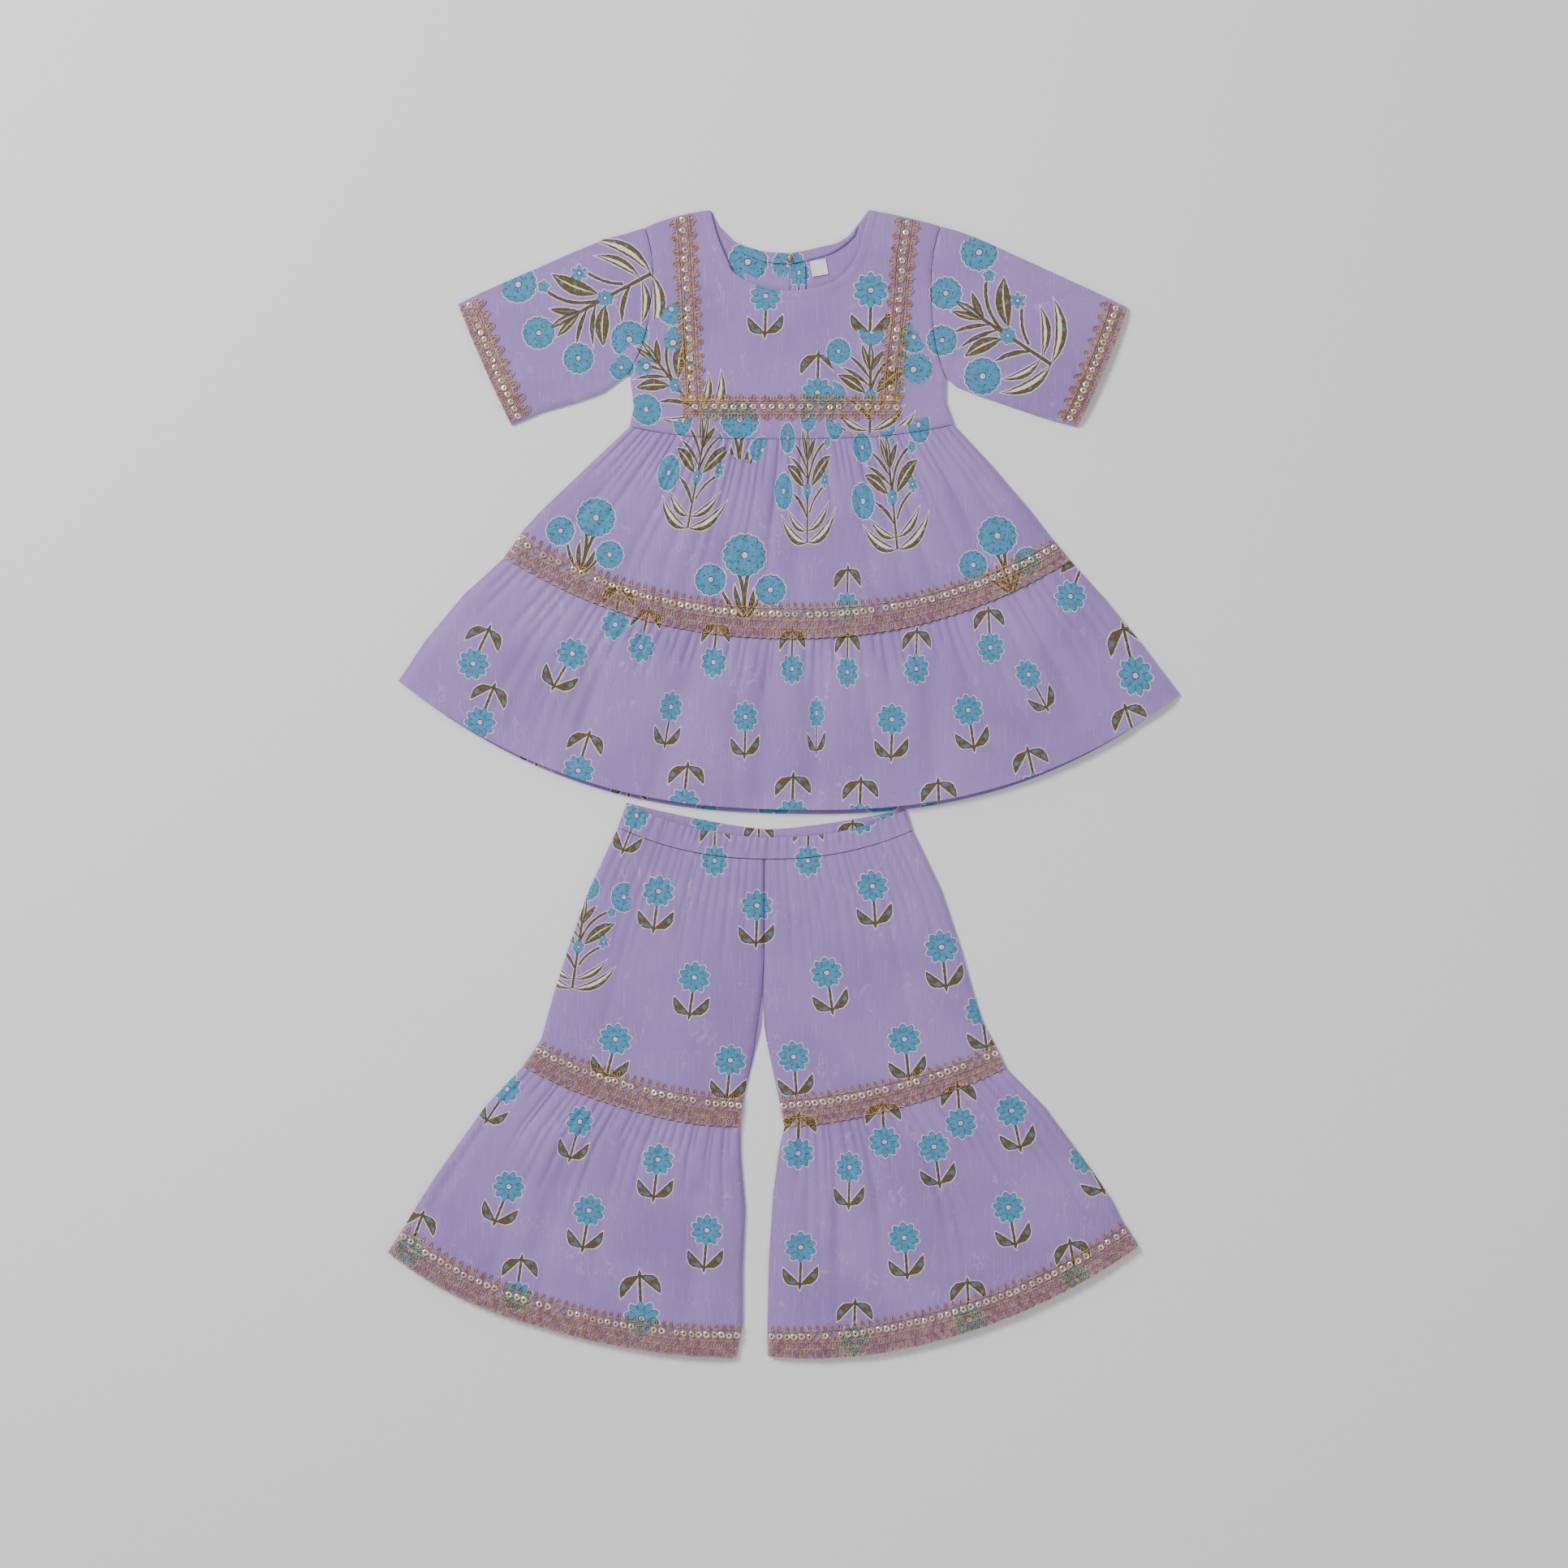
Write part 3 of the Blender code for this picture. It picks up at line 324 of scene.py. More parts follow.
def unpressed(x, y):
    """The share of its billow that the cloth keeps at a place, small along the creases."""
    share = np.ones_like(x)
    for crease in CREASES:
        along_x, along_y = crease.end_x - crease.start_x, crease.end_y - crease.start_y
        length = math.hypot(along_x, along_y)
        t = ((x - crease.start_x) * along_x + (y - crease.start_y) * along_y) / length**2
        t = np.clip(t, 0.0, 1.0)
        away = np.hypot(x - crease.start_x - t * along_x, y - crease.start_y - t * along_y)
        share = share * (1 - crease.depth * np.exp(-((away / crease.width) ** 2)))
    return share


def from_photo(photo_x, photo_y):
    return (photo_x - PHOTO_MIDDLE_X) * PHOTO_MM, (PHOTO_MIDDLE_Y - photo_y) * PHOTO_MM


# Materials


class Wire:
    """A socket of a material's nodes, on which shader maths is written as plain expressions."""

    def __init__(self, tree, socket=None):
        self.tree = tree
        self.socket = socket

    def node(self, kind, settings, values, output=0):
        made = self.tree.nodes.new(kind)
        for name, setting in settings.items():
            if name == "stops":
                for stop, (place, colour) in zip(made.color_ramp.elements, setting):
                    stop.position = place
                    stop.color = colour
            else:
                setattr(made, name, setting)
        for name, value in values.items():
            if isinstance(value, Wire):
                self.tree.links.new(value.socket, made.inputs[name])
            else:
                made.inputs[name].default_value = value
        return Wire(self.tree, made.outputs[output])

    def maths(self, operation, *values):
        return self.node("ShaderNodeMath", {"operation": operation}, dict(enumerate(values)))

    def __add__(self, other):
        return self.maths("ADD", self, other)

    def __radd__(self, other):
        return self.maths("ADD", other, self)

    def __sub__(self, other):
        return self.maths("SUBTRACT", self, other)

    def __rsub__(self, other):
        return self.maths("SUBTRACT", other, self)

    def __mul__(self, other):
        return self.maths("MULTIPLY", self, other)

    def __rmul__(self, other):
        return self.maths("MULTIPLY", other, self)

    def __abs__(self):
        return self.maths("ABSOLUTE", self)

    def smallest(self, other):
        return self.maths("MINIMUM", self, other)

    def largest(self, other):
        return self.maths("MAXIMUM", self, other)

    def past(self, edge, softness):
        """0 below an edge and 1 above it, over a soft border."""
        settings = {"interpolation_type": "SMOOTHSTEP"}
        values = {0: self, 1: edge - softness, 2: edge + softness, 3: 0.0, 4: 1.0}
        return self.node("ShaderNodeMapRange", settings, values)

    def tint(self, below, above):
        """A colour mixed by this share."""
        return self.node("ShaderNodeMix", {"data_type": "RGBA"}, {0: self, 6: below, 7: above}, 2)

    def noise(self, place, scale, detail=2.0, output=0):
        values = {"Vector": place, "Scale": scale, "Detail": detail}
        return self.node("ShaderNodeTexNoise", {}, values, output)

    def stretched(self, place, scale, turn=0.0):
        values = {"Vector": place, "Rotation": (0.0, 0.0, turn), "Scale": scale}
        return self.node("ShaderNodeMapping", {"vector_type": "POINT"}, values)


def srgb(red, green, blue):
    """A linear colour from the 0 to 255 values of a screen."""
    shares = [part / 255 for part in (red, green, blue)]
    return (*(s / 12.92 if s <= 0.04045 else ((s + 0.055) / 1.055) ** 2.4 for s in shares), 1.0)


GROUND = srgb(160, 130, 198)
GROUND_DEEP = srgb(147, 118, 186)
GROUND_PALE = srgb(186, 160, 216)
HALO = srgb(222, 200, 222)
BLUE = srgb(72, 144, 186)
BLUE_TEAL = srgb(58, 132, 158)
NAVY = srgb(28, 44, 70)
OLIVE = srgb(100, 90, 40)
OLIVE_BROWN = srgb(84, 70, 36)
OLIVE_DARK = srgb(52, 42, 26)
CREAM = srgb(236, 226, 200)
PINK = srgb(226, 188, 212)
LEAF_BLUE = srgb(86, 118, 140)


def new_material(name, roughness, metallic=0.0, sheen=0.0):
    material = bpy.data.materials.new(name)
    material.use_nodes = True
    shader = material.node_tree.nodes["Principled BSDF"]
    shader.inputs["Roughness"].default_value = roughness
    shader.inputs["Metallic"].default_value = metallic
    shader.inputs["Sheen Weight"].default_value = sheen
    start = Wire(material.node_tree)
    place = start.node("ShaderNodeTexCoord", {}, {}, 3)
    return material, shader, start, place


def cotton_ground(start, place):
    """Dyed plain-weave cotton: mottled, with slubs along the warp and fine pale scratches of dye."""
    mottle = start.noise(place, 14.0, 3.0)
    colour = mottle.past(0.5, 0.22).tint(GROUND_DEEP, GROUND)
    slubs = start.noise(start.stretched(place, (900.0, 45.0, 1.0)), 1.0, 1.0)
    colour = (slubs.past(0.66, 0.1) * 0.35).tint(colour, GROUND_PALE)
    bent = start.noise(place, 60.0, 3.0, 1)
    mixed = start.node("ShaderNodeVectorMath", {"operation": "MULTIPLY_ADD"}, {0: bent, 1: (0.02, 0.05, 0.0), 2: place})
    lines = abs(start.noise(start.stretched(mixed, (170.0, 60.0, 1.0), 0.3), 1.0, 1.0) - 0.5)
    patches = start.noise(place, 38.0, 1.0).past(0.55, 0.08)
    scratch = (1 - lines.past(0.012, 0.01)) * patches * 0.5
    return scratch.tint(colour, GROUND_PALE)


def weave_bump(start, place, strength=0.25):
    """Crossing threads, about three to a millimetre."""
    across = start.node("ShaderNodeTexWave", {"bands_direction": "X"}, {"Vector": place, "Scale": 560.0})
    along = start.node("ShaderNodeTexWave", {"bands_direction": "Y"}, {"Vector": place, "Scale": 520.0})
    crumple = start.noise(place, 130.0, 4.0)
    height = across * 0.12 + along * 0.12 + crumple
    values = {"Strength": strength, "Distance": 0.0006, "Height": height}
    return start.node("ShaderNodeBump", {}, values)


Leaf = collections.namedtuple("Leaf", "base_x base_y tip_x tip_y width bend streak", defaults=(0.0, 0.0))
Stem = collections.namedtuple("Stem", "base_x base_y tip_x tip_y width bend", defaults=(0.0,))
Bloom = collections.namedtuple("Bloom", "x y radius petals notch squash", defaults=(1.0,))

# Motifs of the print, each growing up from its own foot
BOOTI = (
    Stem(0.0, 0.0, 0.6, 17.0, 1.7),
    Leaf(0.2, 0.6, -11.5, 12.0, 6.0, -2.6),
    Leaf(0.2, 0.6, 12.2, 13.5, 6.0, 2.6),
    Leaf(0.0, 4.0, 0.0, -3.0, 2.2),
    Bloom(0.6, 26.0, 10.6, 10, 0.24),
)
ROUND = (Bloom(0.0, 0.0, 12.2, 15, 0.07),)
TRIO = (
    Bloom(0.0, 42.0, 14.6, 16, 0.07),
    Bloom(-23.0, 25.5, 10.6, 14, 0.07),
    Bloom(17.6, 18.5, 10.4, 14, 0.08),
    Stem(0.0, 0.0, -3.6, 29.0, 2.3, 1.2),
    Stem(0.0, 0.0, 2.2, 29.0, 2.4, -1.0),
    Leaf(-0.8, 2.0, -6.6, 22.0, 3.6, -1.2),
    Leaf(0.8, 2.0, 6.0, 19.0, 3.6, 1.4),
    Stem(-2.0, 0.0, -15.0, 17.0, 2.0, -1.0),
    Stem(2.0, 0.0, 9.0, 12.0, 2.0, 0.8),
)
BUTA = (
    Stem(0.0, 0.0, 0.6, 60.0, 2.4),
    Leaf(0.0, 0.0, 38.2, 22.7, 7.6, 6.0, 0.42),
    Leaf(0.8, 8.0, 28.8, 27.3, 6.0, 3.6, 0.4),
    Leaf(0.0, 0.0, -34.2, 17.8, 7.4, -5.4, 0.42),
    Leaf(-0.8, 8.0, -25.7, 21.7, 5.6, -3.4, 0.4),
    Leaf(0.4, 15.0, -19.8, 33.2, 3.2, 2.4),
    Stem(3.0, 20.0, 20.8, 37.0, 1.9, -2.0),
    Bloom(23.8, 42.5, 5.8, 6, 0.5),
    Leaf(5.5, 38.0, 32.1, 58.8, 10.4, -2.0, 0.14),
    Bloom(0.4, 35.3, 5.8, 8, 0.24),
    Leaf(-3.6, 37.4, -27.0, 52.0, 9.2, 1.6, 0.16),
    Leaf(0.5, 42.3, -23.6, 57.9, 3.0, 1.6),
    Stem(1.6, 41.0, 23.0, 67.2, 2.2, -4.0),
    Leaf(0.0, 49.1, -17.7, 67.3, 2.8, 1.4),
    Leaf(1.5, 54.9, 12.0, 71.5, 4.8, -1.0, 0.1),
    Leaf(0.3, 56.0, 0.4, 78.0, 4.8, 0.8, 0.2),
    Leaf(-0.6, 56.0, -6.6, 76.5, 4.8, 0.0, 0.2),
    Bloom(27.6, 67.9, 4.2, 5, 0.3),
    Bloom(37.3, 82.2, 12.6, 16, 0.07),
    Bloom(1.7, 86.0, 11.0, 15, 0.08),
    Bloom(-26.4, 70.8, 10.4, 15, 0.08),
    Bloom(-31.8, 34.6, 12.5, 16, 0.07),
)
HALO_WIDTH = 0.75
OUTLINE_WIDTH = 0.42


def unit(shape):
    along_x, along_y = shape.tip_x - shape.base_x, shape.tip_y - shape.base_y
    length = math.hypot(along_x, along_y)
    return along_x / length, along_y / length, length


def along_and_across(start, place, shape):
    """Share of the way from a shape's base to its tip, and the distance beside that line."""
    along_x, along_y, length = unit(shape)
    share = start.node(
        "ShaderNodeVectorMath",
        {"operation": "DOT_PRODUCT"},
        {0: place, 1: (along_x / length, along_y / length, 0.0)},
        1,
    ) - (shape.base_x * along_x + shape.base_y * along_y) / length
    across = start.node(
        "ShaderNodeVectorMath", {"operation": "DOT_PRODUCT"}, {0: place, 1: (along_y, -along_x, 0.0)}, 1
    ) - (shape.base_x * along_y - shape.base_y * along_x)
    return share, across


def leaf_depth(start, place, leaf):
    """Depth inside a leaf in millimetres, and depth inside its pale streak, or None."""
    share, across = along_and_across(start, place, leaf)
    fat = share * (1 - share)
    across = across - fat * (4 * leaf.bend)
    depth = fat * (2 * leaf.width) - abs(across)
    if not leaf.streak:
        return depth, None
    side = math.copysign(0.5, -leaf.bend) * (leaf.streak > 0.2)
    streak = fat * (2 * leaf.width * leaf.streak) - abs(across - fat * (leaf.width * side)) - 0.2
    return depth, streak


def stem_depth(start, place, stem):
    share, across = along_and_across(start, place, stem)
    fat = share * (1 - share)
    across = across - fat * (4 * stem.bend)
    return (stem.width / 2 - abs(across)).smallest(fat * 60.0)


def bloom_depth(start, place, bloom):
    """Depth inside a bloom in millimetres, darkness of the lines on it, and distance from its centre."""
    moved = start.node(
        "ShaderNodeVectorMath", {"operation": "SUBTRACT"}, {0: place, 1: (bloom.x, bloom.y, 0.0)}
    )
    radius = start.node("ShaderNodeVectorMath", {"operation": "LENGTH"}, {0: moved}, 1)
    parts = start.node("ShaderNodeSeparateXYZ", {}, {0: moved})
    other = Wire(start.tree, parts.socket.node.outputs[1])
    angle = parts.maths("ARCTAN2", other, parts)
    lobe = abs((angle * (bloom.petals / 2)).maths("SINE", angle * (bloom.petals / 2)))
    depth = lobe * (bloom.radius * bloom.notch) + bloom.radius * (1 - bloom.notch) - radius
    if bloom.notch > 0.15:
        gap = 1 - lobe.past(0.16, 0.1)
        lines = gap * radius.past(bloom.radius * 0.45, 0.4)
    else:
        ticks = 1 - lobe.past(0.2, 0.12)
        dots = start.noise(moved, 0.62, 0.0).past(0.67, 0.025)
        rim = radius.past(bloom.radius * 0.84, 0.3)
        lines = (ticks * rim).largest(dots * 0.8)
    return depth, lines, radius


def printed_cotton(name, motif):
    """Cotton with one motif of the print, laid out by the piece's own print coordinates in millimetres."""
    material, shader, start, place = new_material(name, 0.86, sheen=0.18)
    ground = cotton_ground(start, place)
    colour = ground
    if motif:
        print_place = start.node("ShaderNodeUVMap", {"uv_map": "print"}, {})
        wobble = start.noise(print_place, 0.35, 2.0, 1)
        settings = {"operation": "MULTIPLY_ADD"}
        wobble = start.node("ShaderNodeVectorMath", settings, {0: wobble, 1: (1.1, 1.1, 0.0), 2: (-0.55, -0.55, 0.0)})
        drawn = start.node("ShaderNodeVectorMath", {"operation": "ADD"}, {0: print_place, 1: wobble})
        green, streaks, blue, lines = None, None, None, None
        hearts = []
        for shape in motif:
            if isinstance(shape, Bloom):
                depth, dark, radius = bloom_depth(start, drawn, shape)
                dark = dark * depth.past(0.0, 0.1)
                lines = dark if lines is None else lines.largest(dark)
                blue = depth if blue is None else blue.largest(depth)
                hearts.append((radius, shape.radius))
            else:
                depth, streak = (
                    leaf_depth(start, drawn, shape)
                    if isinstance(shape, Leaf)
                    else (stem_depth(start, drawn, shape), None)
                )
                green = depth if green is None else green.largest(depth)
                if streak is not None:
                    streaks = streak if streaks is None else streaks.largest(streak)
        every = blue if green is None else green.largest(blue)
        speckle = start.noise(drawn, 0.8, 3.0)
        colour = every.past(-HALO_WIDTH, 0.18).tint(colour, HALO)
        if green is not None:
            leaf_tone = speckle.past(0.52, 0.12).tint(OLIVE_BROWN, OLIVE)
            patch = start.noise(drawn, 0.22, 0.0).past(0.6, 0.05) * green.past(1.1, 0.2)
            leaf_tone = (patch * 0.8).tint(leaf_tone, LEAF_BLUE)
            colour = green.past(0.0, 0.12).tint(colour, OLIVE_DARK)
            colour = green.past(OUTLINE_WIDTH, 0.15).tint(colour, leaf_tone)
        if streaks is not None:
            colour = streaks.past(0.0, 0.15).tint(colour, CREAM)
        patch = start.noise(drawn, 0.3, 1.0).past(0.56, 0.08)
        petal_tone = patch.tint(BLUE, BLUE_TEAL)
        colour = blue.past(0.0, 0.12).tint(colour, NAVY)
        colour = blue.past(OUTLINE_WIDTH * 0.7, 0.12).tint(colour, petal_tone)
        colour = (lines * 0.85).tint(colour, NAVY)
        for radius, size in hearts:
            if size > 5:
                core = size * 0.13 + 0.3
                colour = (1 - radius.past(core + 0.55, 0.12)).tint(colour, NAVY)
                colour = (1 - radius.past(core, 0.12)).tint(colour, PINK)
        worn = (start.noise(place, 420.0, 2.0).past(0.62, 0.06) * 0.22)
        colour = worn.tint(colour, ground)
    start.tree.links.new(colour.socket, shader.inputs["Base Color"])
    start.tree.links.new(weave_bump(start, place).socket, shader.inputs["Normal"])
    return material


def gold_thread():
    material, shader, start, place = new_material("gold_thread", 0.42, 0.55)
    tone = start.noise(place, 260.0, 2.0)
    colour = tone.past(0.5, 0.18).tint(srgb(176, 128, 70), srgb(228, 190, 128))
    start.tree.links.new(colour.socket, shader.inputs["Base Color"])
    twist = start.node("ShaderNodeTexWave", {"bands_direction": "DIAGONAL"}, {"Vector": place, "Scale": 900.0})
    bump = start.node("ShaderNodeBump", {}, {"Strength": 0.3, "Distance": 0.0002, "Height": twist})
    start.tree.links.new(bump.socket, shader.inputs["Normal"])
    return material


def gold_sequin():
    material, shader, start, place = new_material("gold_sequin", 0.22, 0.75)
    tone = start.noise(place, 180.0, 1.0)
    colour = tone.past(0.5, 0.12).tint(srgb(232, 204, 148), srgb(252, 240, 214))
    start.tree.links.new(colour.socket, shader.inputs["Base Color"])
    return material


def gold_bead():
    material, shader, start, place = new_material("gold_bead", 0.25, 1.0)
    tone = start.noise(place, 700.0, 2.0)
    colour = tone.past(0.5, 0.2).tint(srgb(196, 148, 74), srgb(238, 204, 132))
    start.tree.links.new(colour.socket, shader.inputs["Base Color"])
    return material


def sewing_thread(name, colour, lighter):
    material, shader, start, place = new_material(name, 0.65, sheen=0.2)
    tone = start.noise(place, 900.0, 2.0).past(0.5, 0.2).tint(colour, lighter)
    start.tree.links.new(tone.socket, shader.inputs["Base Color"])
    return material


def label_satin():
    material, shader, start, place = new_material("label_satin", 0.5, sheen=0.2)
    ribs = start.node("ShaderNodeTexWave", {"bands_direction": "X"}, {"Vector": place, "Scale": 700.0})
    tone = ribs.past(0.5, 0.4).tint(srgb(226, 226, 228), srgb(244, 244, 244))
    start.tree.links.new(tone.socket, shader.inputs["Base Color"])
    bump = start.node("ShaderNodeBump", {}, {"Strength": 0.2, "Distance": 0.0002, "Height": ribs})
    start.tree.links.new(bump.socket, shader.inputs["Normal"])
    return material


PLAIN, BOOTI_KIND, ROUND_KIND, TRIO_KIND, BUTA_KIND = range(5)
cottons = [
    printed_cotton("cotton_plain", ()),
    printed_cotton("cotton_booti", BOOTI),
    printed_cotton("cotton_round_bloom", ROUND),
    printed_cotton("cotton_three_blooms", TRIO),
    printed_cotton("cotton_buta", BUTA),
]
GOLD_MATERIALS = [gold_thread(), gold_sequin()]
BEAD_MATERIAL = gold_bead()
STITCH_MATERIAL = sewing_thread("lavender_thread", srgb(168, 142, 204), srgb(196, 172, 226))
DARK_STITCH_MATERIAL = sewing_thread("white_thread", srgb(214, 210, 216), srgb(240, 238, 242))
LABEL_MATERIAL = label_satin()

# Where each motif is printed: the photograph's pixel of its foot, or of a round bloom's middle, its turn in
# degrees clockwise from upright, its width and height against the motif's own, and how far round it reaches.
Print = collections.namedtuple("Print", "kind photo_x photo_y turn wide tall", defaults=(1.0, 1.0))
REACH = {BOOTI_KIND: (0.0, 17.0, 22.5), ROUND_KIND: (0.0, 0.0, 14.5), TRIO_KIND: (-2.0, 28.0, 38.0), BUTA_KIND: (2.0, 44.0, 62.0)}
FRONT_PRINTS = (
    # Tier, upright then upside down under the lace and along the hem
    Print(BOOTI_KIND, 683, 846, 28),
    Print(BOOTI_KIND, 820, 917, 8, 0.72),
    Print(BOOTI_KIND, 918, 930, 0, 0.8),
    Print(BOOTI_KIND, 1006, 925, 0, 0.5),
    Print(BOOTI_KIND, 1098, 933, 0, 0.95),
    Print(BOOTI_KIND, 1200, 921, -10, 0.95),
    Print(BOOTI_KIND, 1290, 872, -30, 0.75),
    Print(BOOTI_KIND, 604, 774, 203),
    Print(BOOTI_KIND, 765, 722, 186, 0.9),
    Print(BOOTI_KIND, 800, 750, 190, 0.85),
    Print(BOOTI_KIND, 884, 768, 184, 0.8),
    Print(BOOTI_KIND, 977, 776, 180, 0.72),
    Print(BOOTI_KIND, 1045, 780, 180, 0.7),
    Print(BOOTI_KIND, 1130, 776, 180, 0.8),
    Print(BOOTI_KIND, 1218, 750, 176, 0.85),
    Print(BOOTI_KIND, 610, 845, 200),
    Print(BOOTI_KIND, 727, 903, 195),
    Print(BOOTI_KIND, 848, 942, 184),
    Print(BOOTI_KIND, 978, 955, 180),
    Print(BOOTI_KIND, 1061, 960, 180),
    Print(BOOTI_KIND, 1156, 962, 176),
    Print(BOOTI_KIND, 1266, 923, 165),
    Print(BOOTI_KIND, 1386, 870, 160),
    Print(BOOTI_KIND, 1384, 772, 165, 1.1, 1.3),
    Print(BOOTI_KIND, 1336, 690, 200, 1.0, 1.0),
    # Skirt
    Print(TRIO_KIND, 918, 760, 0, 1.0, 1.0),
    Print(TRIO_KIND, 716, 705, 16, 0.9, 0.92),
    Print(TRIO_KIND, 1246, 728, -14, 0.9, 0.92),
    Print(BUTA_KIND, 848, 650, 10, 0.6, 1.0),
    Print(BUTA_KIND, 995, 668, 0, 0.5, 1.0),
    Print(BUTA_KIND, 1106, 676, -6, 0.62, 1.0),
    Print(BOOTI_KIND, 1045, 700, 180, 0.75),
    # Bodice
    Print(BOOTI_KIND, 943, 412, 0, 1.0, 1.0),
    Print(BOOTI_KIND, 1072, 412, 0, 1.1, 1.15),
    Print(BOOTI_KIND, 1009, 436, 180, 1.0, 1.0),
    Print(BUTA_KIND, 1072, 542, 0, 0.8, 0.85),
    Print(BUTA_KIND, 868, 520, -38, 0.8, 0.9),
    Print(ROUND_KIND, 830, 422, 0, 1.1, 1.1),
    Print(ROUND_KIND, 797, 451, 0, 1.1, 1.15),
    Print(ROUND_KIND, 1126, 455, 0, 1.05, 1.1),
    Print(TRIO_KIND, 912, 585, 0, 0.9, 0.9),
    # Sleeves
    Print(BUTA_KIND, 1295, 449, -57, 1.0, 1.0),
    Print(BUTA_KIND, 803, 337, -119, 1.0, 1.0),
    # Waistband and legs
    Print(BOOTI_KIND, 882, 1012, 180, 0.85),
    Print(BOOTI_KIND, 997, 1012, 180, 0.85),
    Print(BOOTI_KIND, 768, 1048, 20, 0.8),
    Print(BOOTI_KIND, 806, 1144, 6),
    Print(BOOTI_KIND, 932, 1162, 0),
    Print(BOOTI_KIND, 1079, 1138, -6),
    Print(BOOTI_KIND, 850, 1250, 6),
    Print(BOOTI_KIND, 1026, 1244, -10),
    Print(BOOTI_KIND, 1166, 1215, -8, 1.05, 1.05),
    Print(BUTA_KIND, 706, 1216, 8, 0.7, 0.8),
    Print(BOOTI_KIND, 748, 1325, 12, 1.05, 1.0),
    Print(BOOTI_KIND, 896, 1352, 4),
    Print(BOOTI_KIND, 982, 1348, -6),
    Print(BOOTI_KIND, 1120, 1326, -8, 1.05, 1.0),
    Print(BOOTI_KIND, 1216, 1290, -10),
    # Flares
    Print(BOOTI_KIND, 600, 1380, 32, 0.8),
    Print(BOOTI_KIND, 703, 1426, 14, 0.85),
    Print(BOOTI_KIND, 806, 1474, 5),
    Print(BOOTI_KIND, 611, 1504, 20),
    Print(BOOTI_KIND, 719, 1536, 8),
    Print(BOOTI_KIND, 868, 1561, 3),
    Print(BOOTI_KIND, 522, 1494, 198),
    Print(BOOTI_KIND, 644, 1548, 186),
    Print(BOOTI_KIND, 789, 1568, 176, 1.15, 1.15),
    Print(BOOTI_KIND, 1046, 1484, 0, 0.85),
    Print(BOOTI_KIND, 1158, 1458, -10),
    Print(BOOTI_KIND, 1257, 1413, -14),
    Print(BOOTI_KIND, 1360, 1466, -30),
    Print(BOOTI_KIND, 986, 1582, 0),
    Print(BOOTI_KIND, 1118, 1570, -6),
    Print(BOOTI_KIND, 1251, 1532, -12),
    Print(BOOTI_KIND, 1054, 1602, 180),
    Print(BOOTI_KIND, 1192, 1576, 176),
    Print(BOOTI_KIND, 1318, 1528, 168),
    Print(BOOTI_KIND, 985, 1372, 180),
    Print(BOOTI_KIND, 1088, 1358, 176),
    Print(BOOTI_KIND, 1180, 1335, 174),
)
# The neck's back panel shows inside the front neck, printed with its own motifs
NECK_PRINTS = (
    Print(ROUND_KIND, 922, 322, 0, 1.1, 1.1),
    Print(ROUND_KIND, 972, 326, 0, 0.9, 0.9),
    Print(BOOTI_KIND, 905, 382, 0, 0.7, 0.9),
    Print(BOOTI_KIND, 984, 378, 0, 0.7, 0.9),
)
FRONT_LAYER = 1.45


def motif_frames(prints, mirrored):
    """Foot, turn, scales and reach of each printed motif, in millimetres and radians."""
    frames = []
    for spot in prints:
        x, y = from_photo(spot.photo_x, spot.photo_y)
        turn = math.radians(spot.turn)
        if mirrored:
            x, turn = -x, -turn
        middle_x, middle_y, reach = REACH[spot.kind]
        middle_x, middle_y = middle_x * spot.wide, middle_y * spot.tall
        centre_x = x + middle_x * math.cos(turn) + middle_y * math.sin(turn)
        centre_y = y - middle_x * math.sin(turn) + middle_y * math.cos(turn)
        frames.append((spot, x, y, turn, centre_x, centre_y, reach * max(spot.wide, spot.tall)))
    return frames


FRONT_FRAMES = motif_frames(FRONT_PRINTS, False)
BACK_FRAMES = motif_frames(FRONT_PRINTS, True)
NECK_FRAMES = motif_frames(NECK_PRINTS, False)


def lay_print(mesh, points, frames_of):
    """Gives each face its motif's material and each corner its place in that motif, in millimetres."""
    corners = np.empty(len(mesh.loops), np.int32)
    mesh.loops.foreach_get("vertex_index", corners)
    starts = np.empty(len(mesh.polygons), np.int32)
    mesh.polygons.foreach_get("loop_start", starts)
    totals = np.empty(len(mesh.polygons), np.int32)
    mesh.polygons.foreach_get("loop_total", totals)
    places = points[corners]
    middles = np.add.reduceat(places, starts, axis=0) / totals[:, None]
    kinds = np.zeros(len(starts), np.int32)
    nearest = np.ones(len(starts))
    drawn = np.full((len(corners), 2), 500.0)
    face_of_corner = np.repeat(np.arange(len(starts)), totals)
    for choose, frames in frames_of(middles):
        for spot, x, y, turn, centre_x, centre_y, reach in frames:
            away = np.hypot(middles[:, 0] - centre_x, middles[:, 1] - centre_y) / reach
            picked = choose & (away < nearest)
            if not picked.any():
                continue
            nearest[picked] = away[picked]
            kinds[picked] = spot.kind
            inside = picked[face_of_corner]
            dx, dy = places[inside, 0] - x, places[inside, 1] - y
            across = dx * math.cos(turn) - dy * math.sin(turn)
            up = dx * math.sin(turn) + dy * math.cos(turn)
            drawn[inside] = np.stack([across / spot.wide, up / spot.tall], axis=1)
    layer = mesh.uv_layers.new(name="print")
    layer.data.foreach_set("uv", drawn.astype(np.float32).ravel())
    mesh.polygons.foreach_set("material_index", kinds)


def by_layer(middles):
    """Front layers take the front's print and back layers the back's."""
    front = middles[:, 2] > FRONT_LAYER
    return (front, FRONT_FRAMES), (~front, BACK_FRAMES)


def in_neck(middles):
    every = np.ones(len(middles), bool)
    shown = every & (middles[:, 1] > SLIT_BOTTOM - 20.0) & (abs(middles[:, 0] - BODICE_MIDDLE[0]) < 60.0)
    return (shown, NECK_FRAMES), (~shown, BACK_FRAMES)


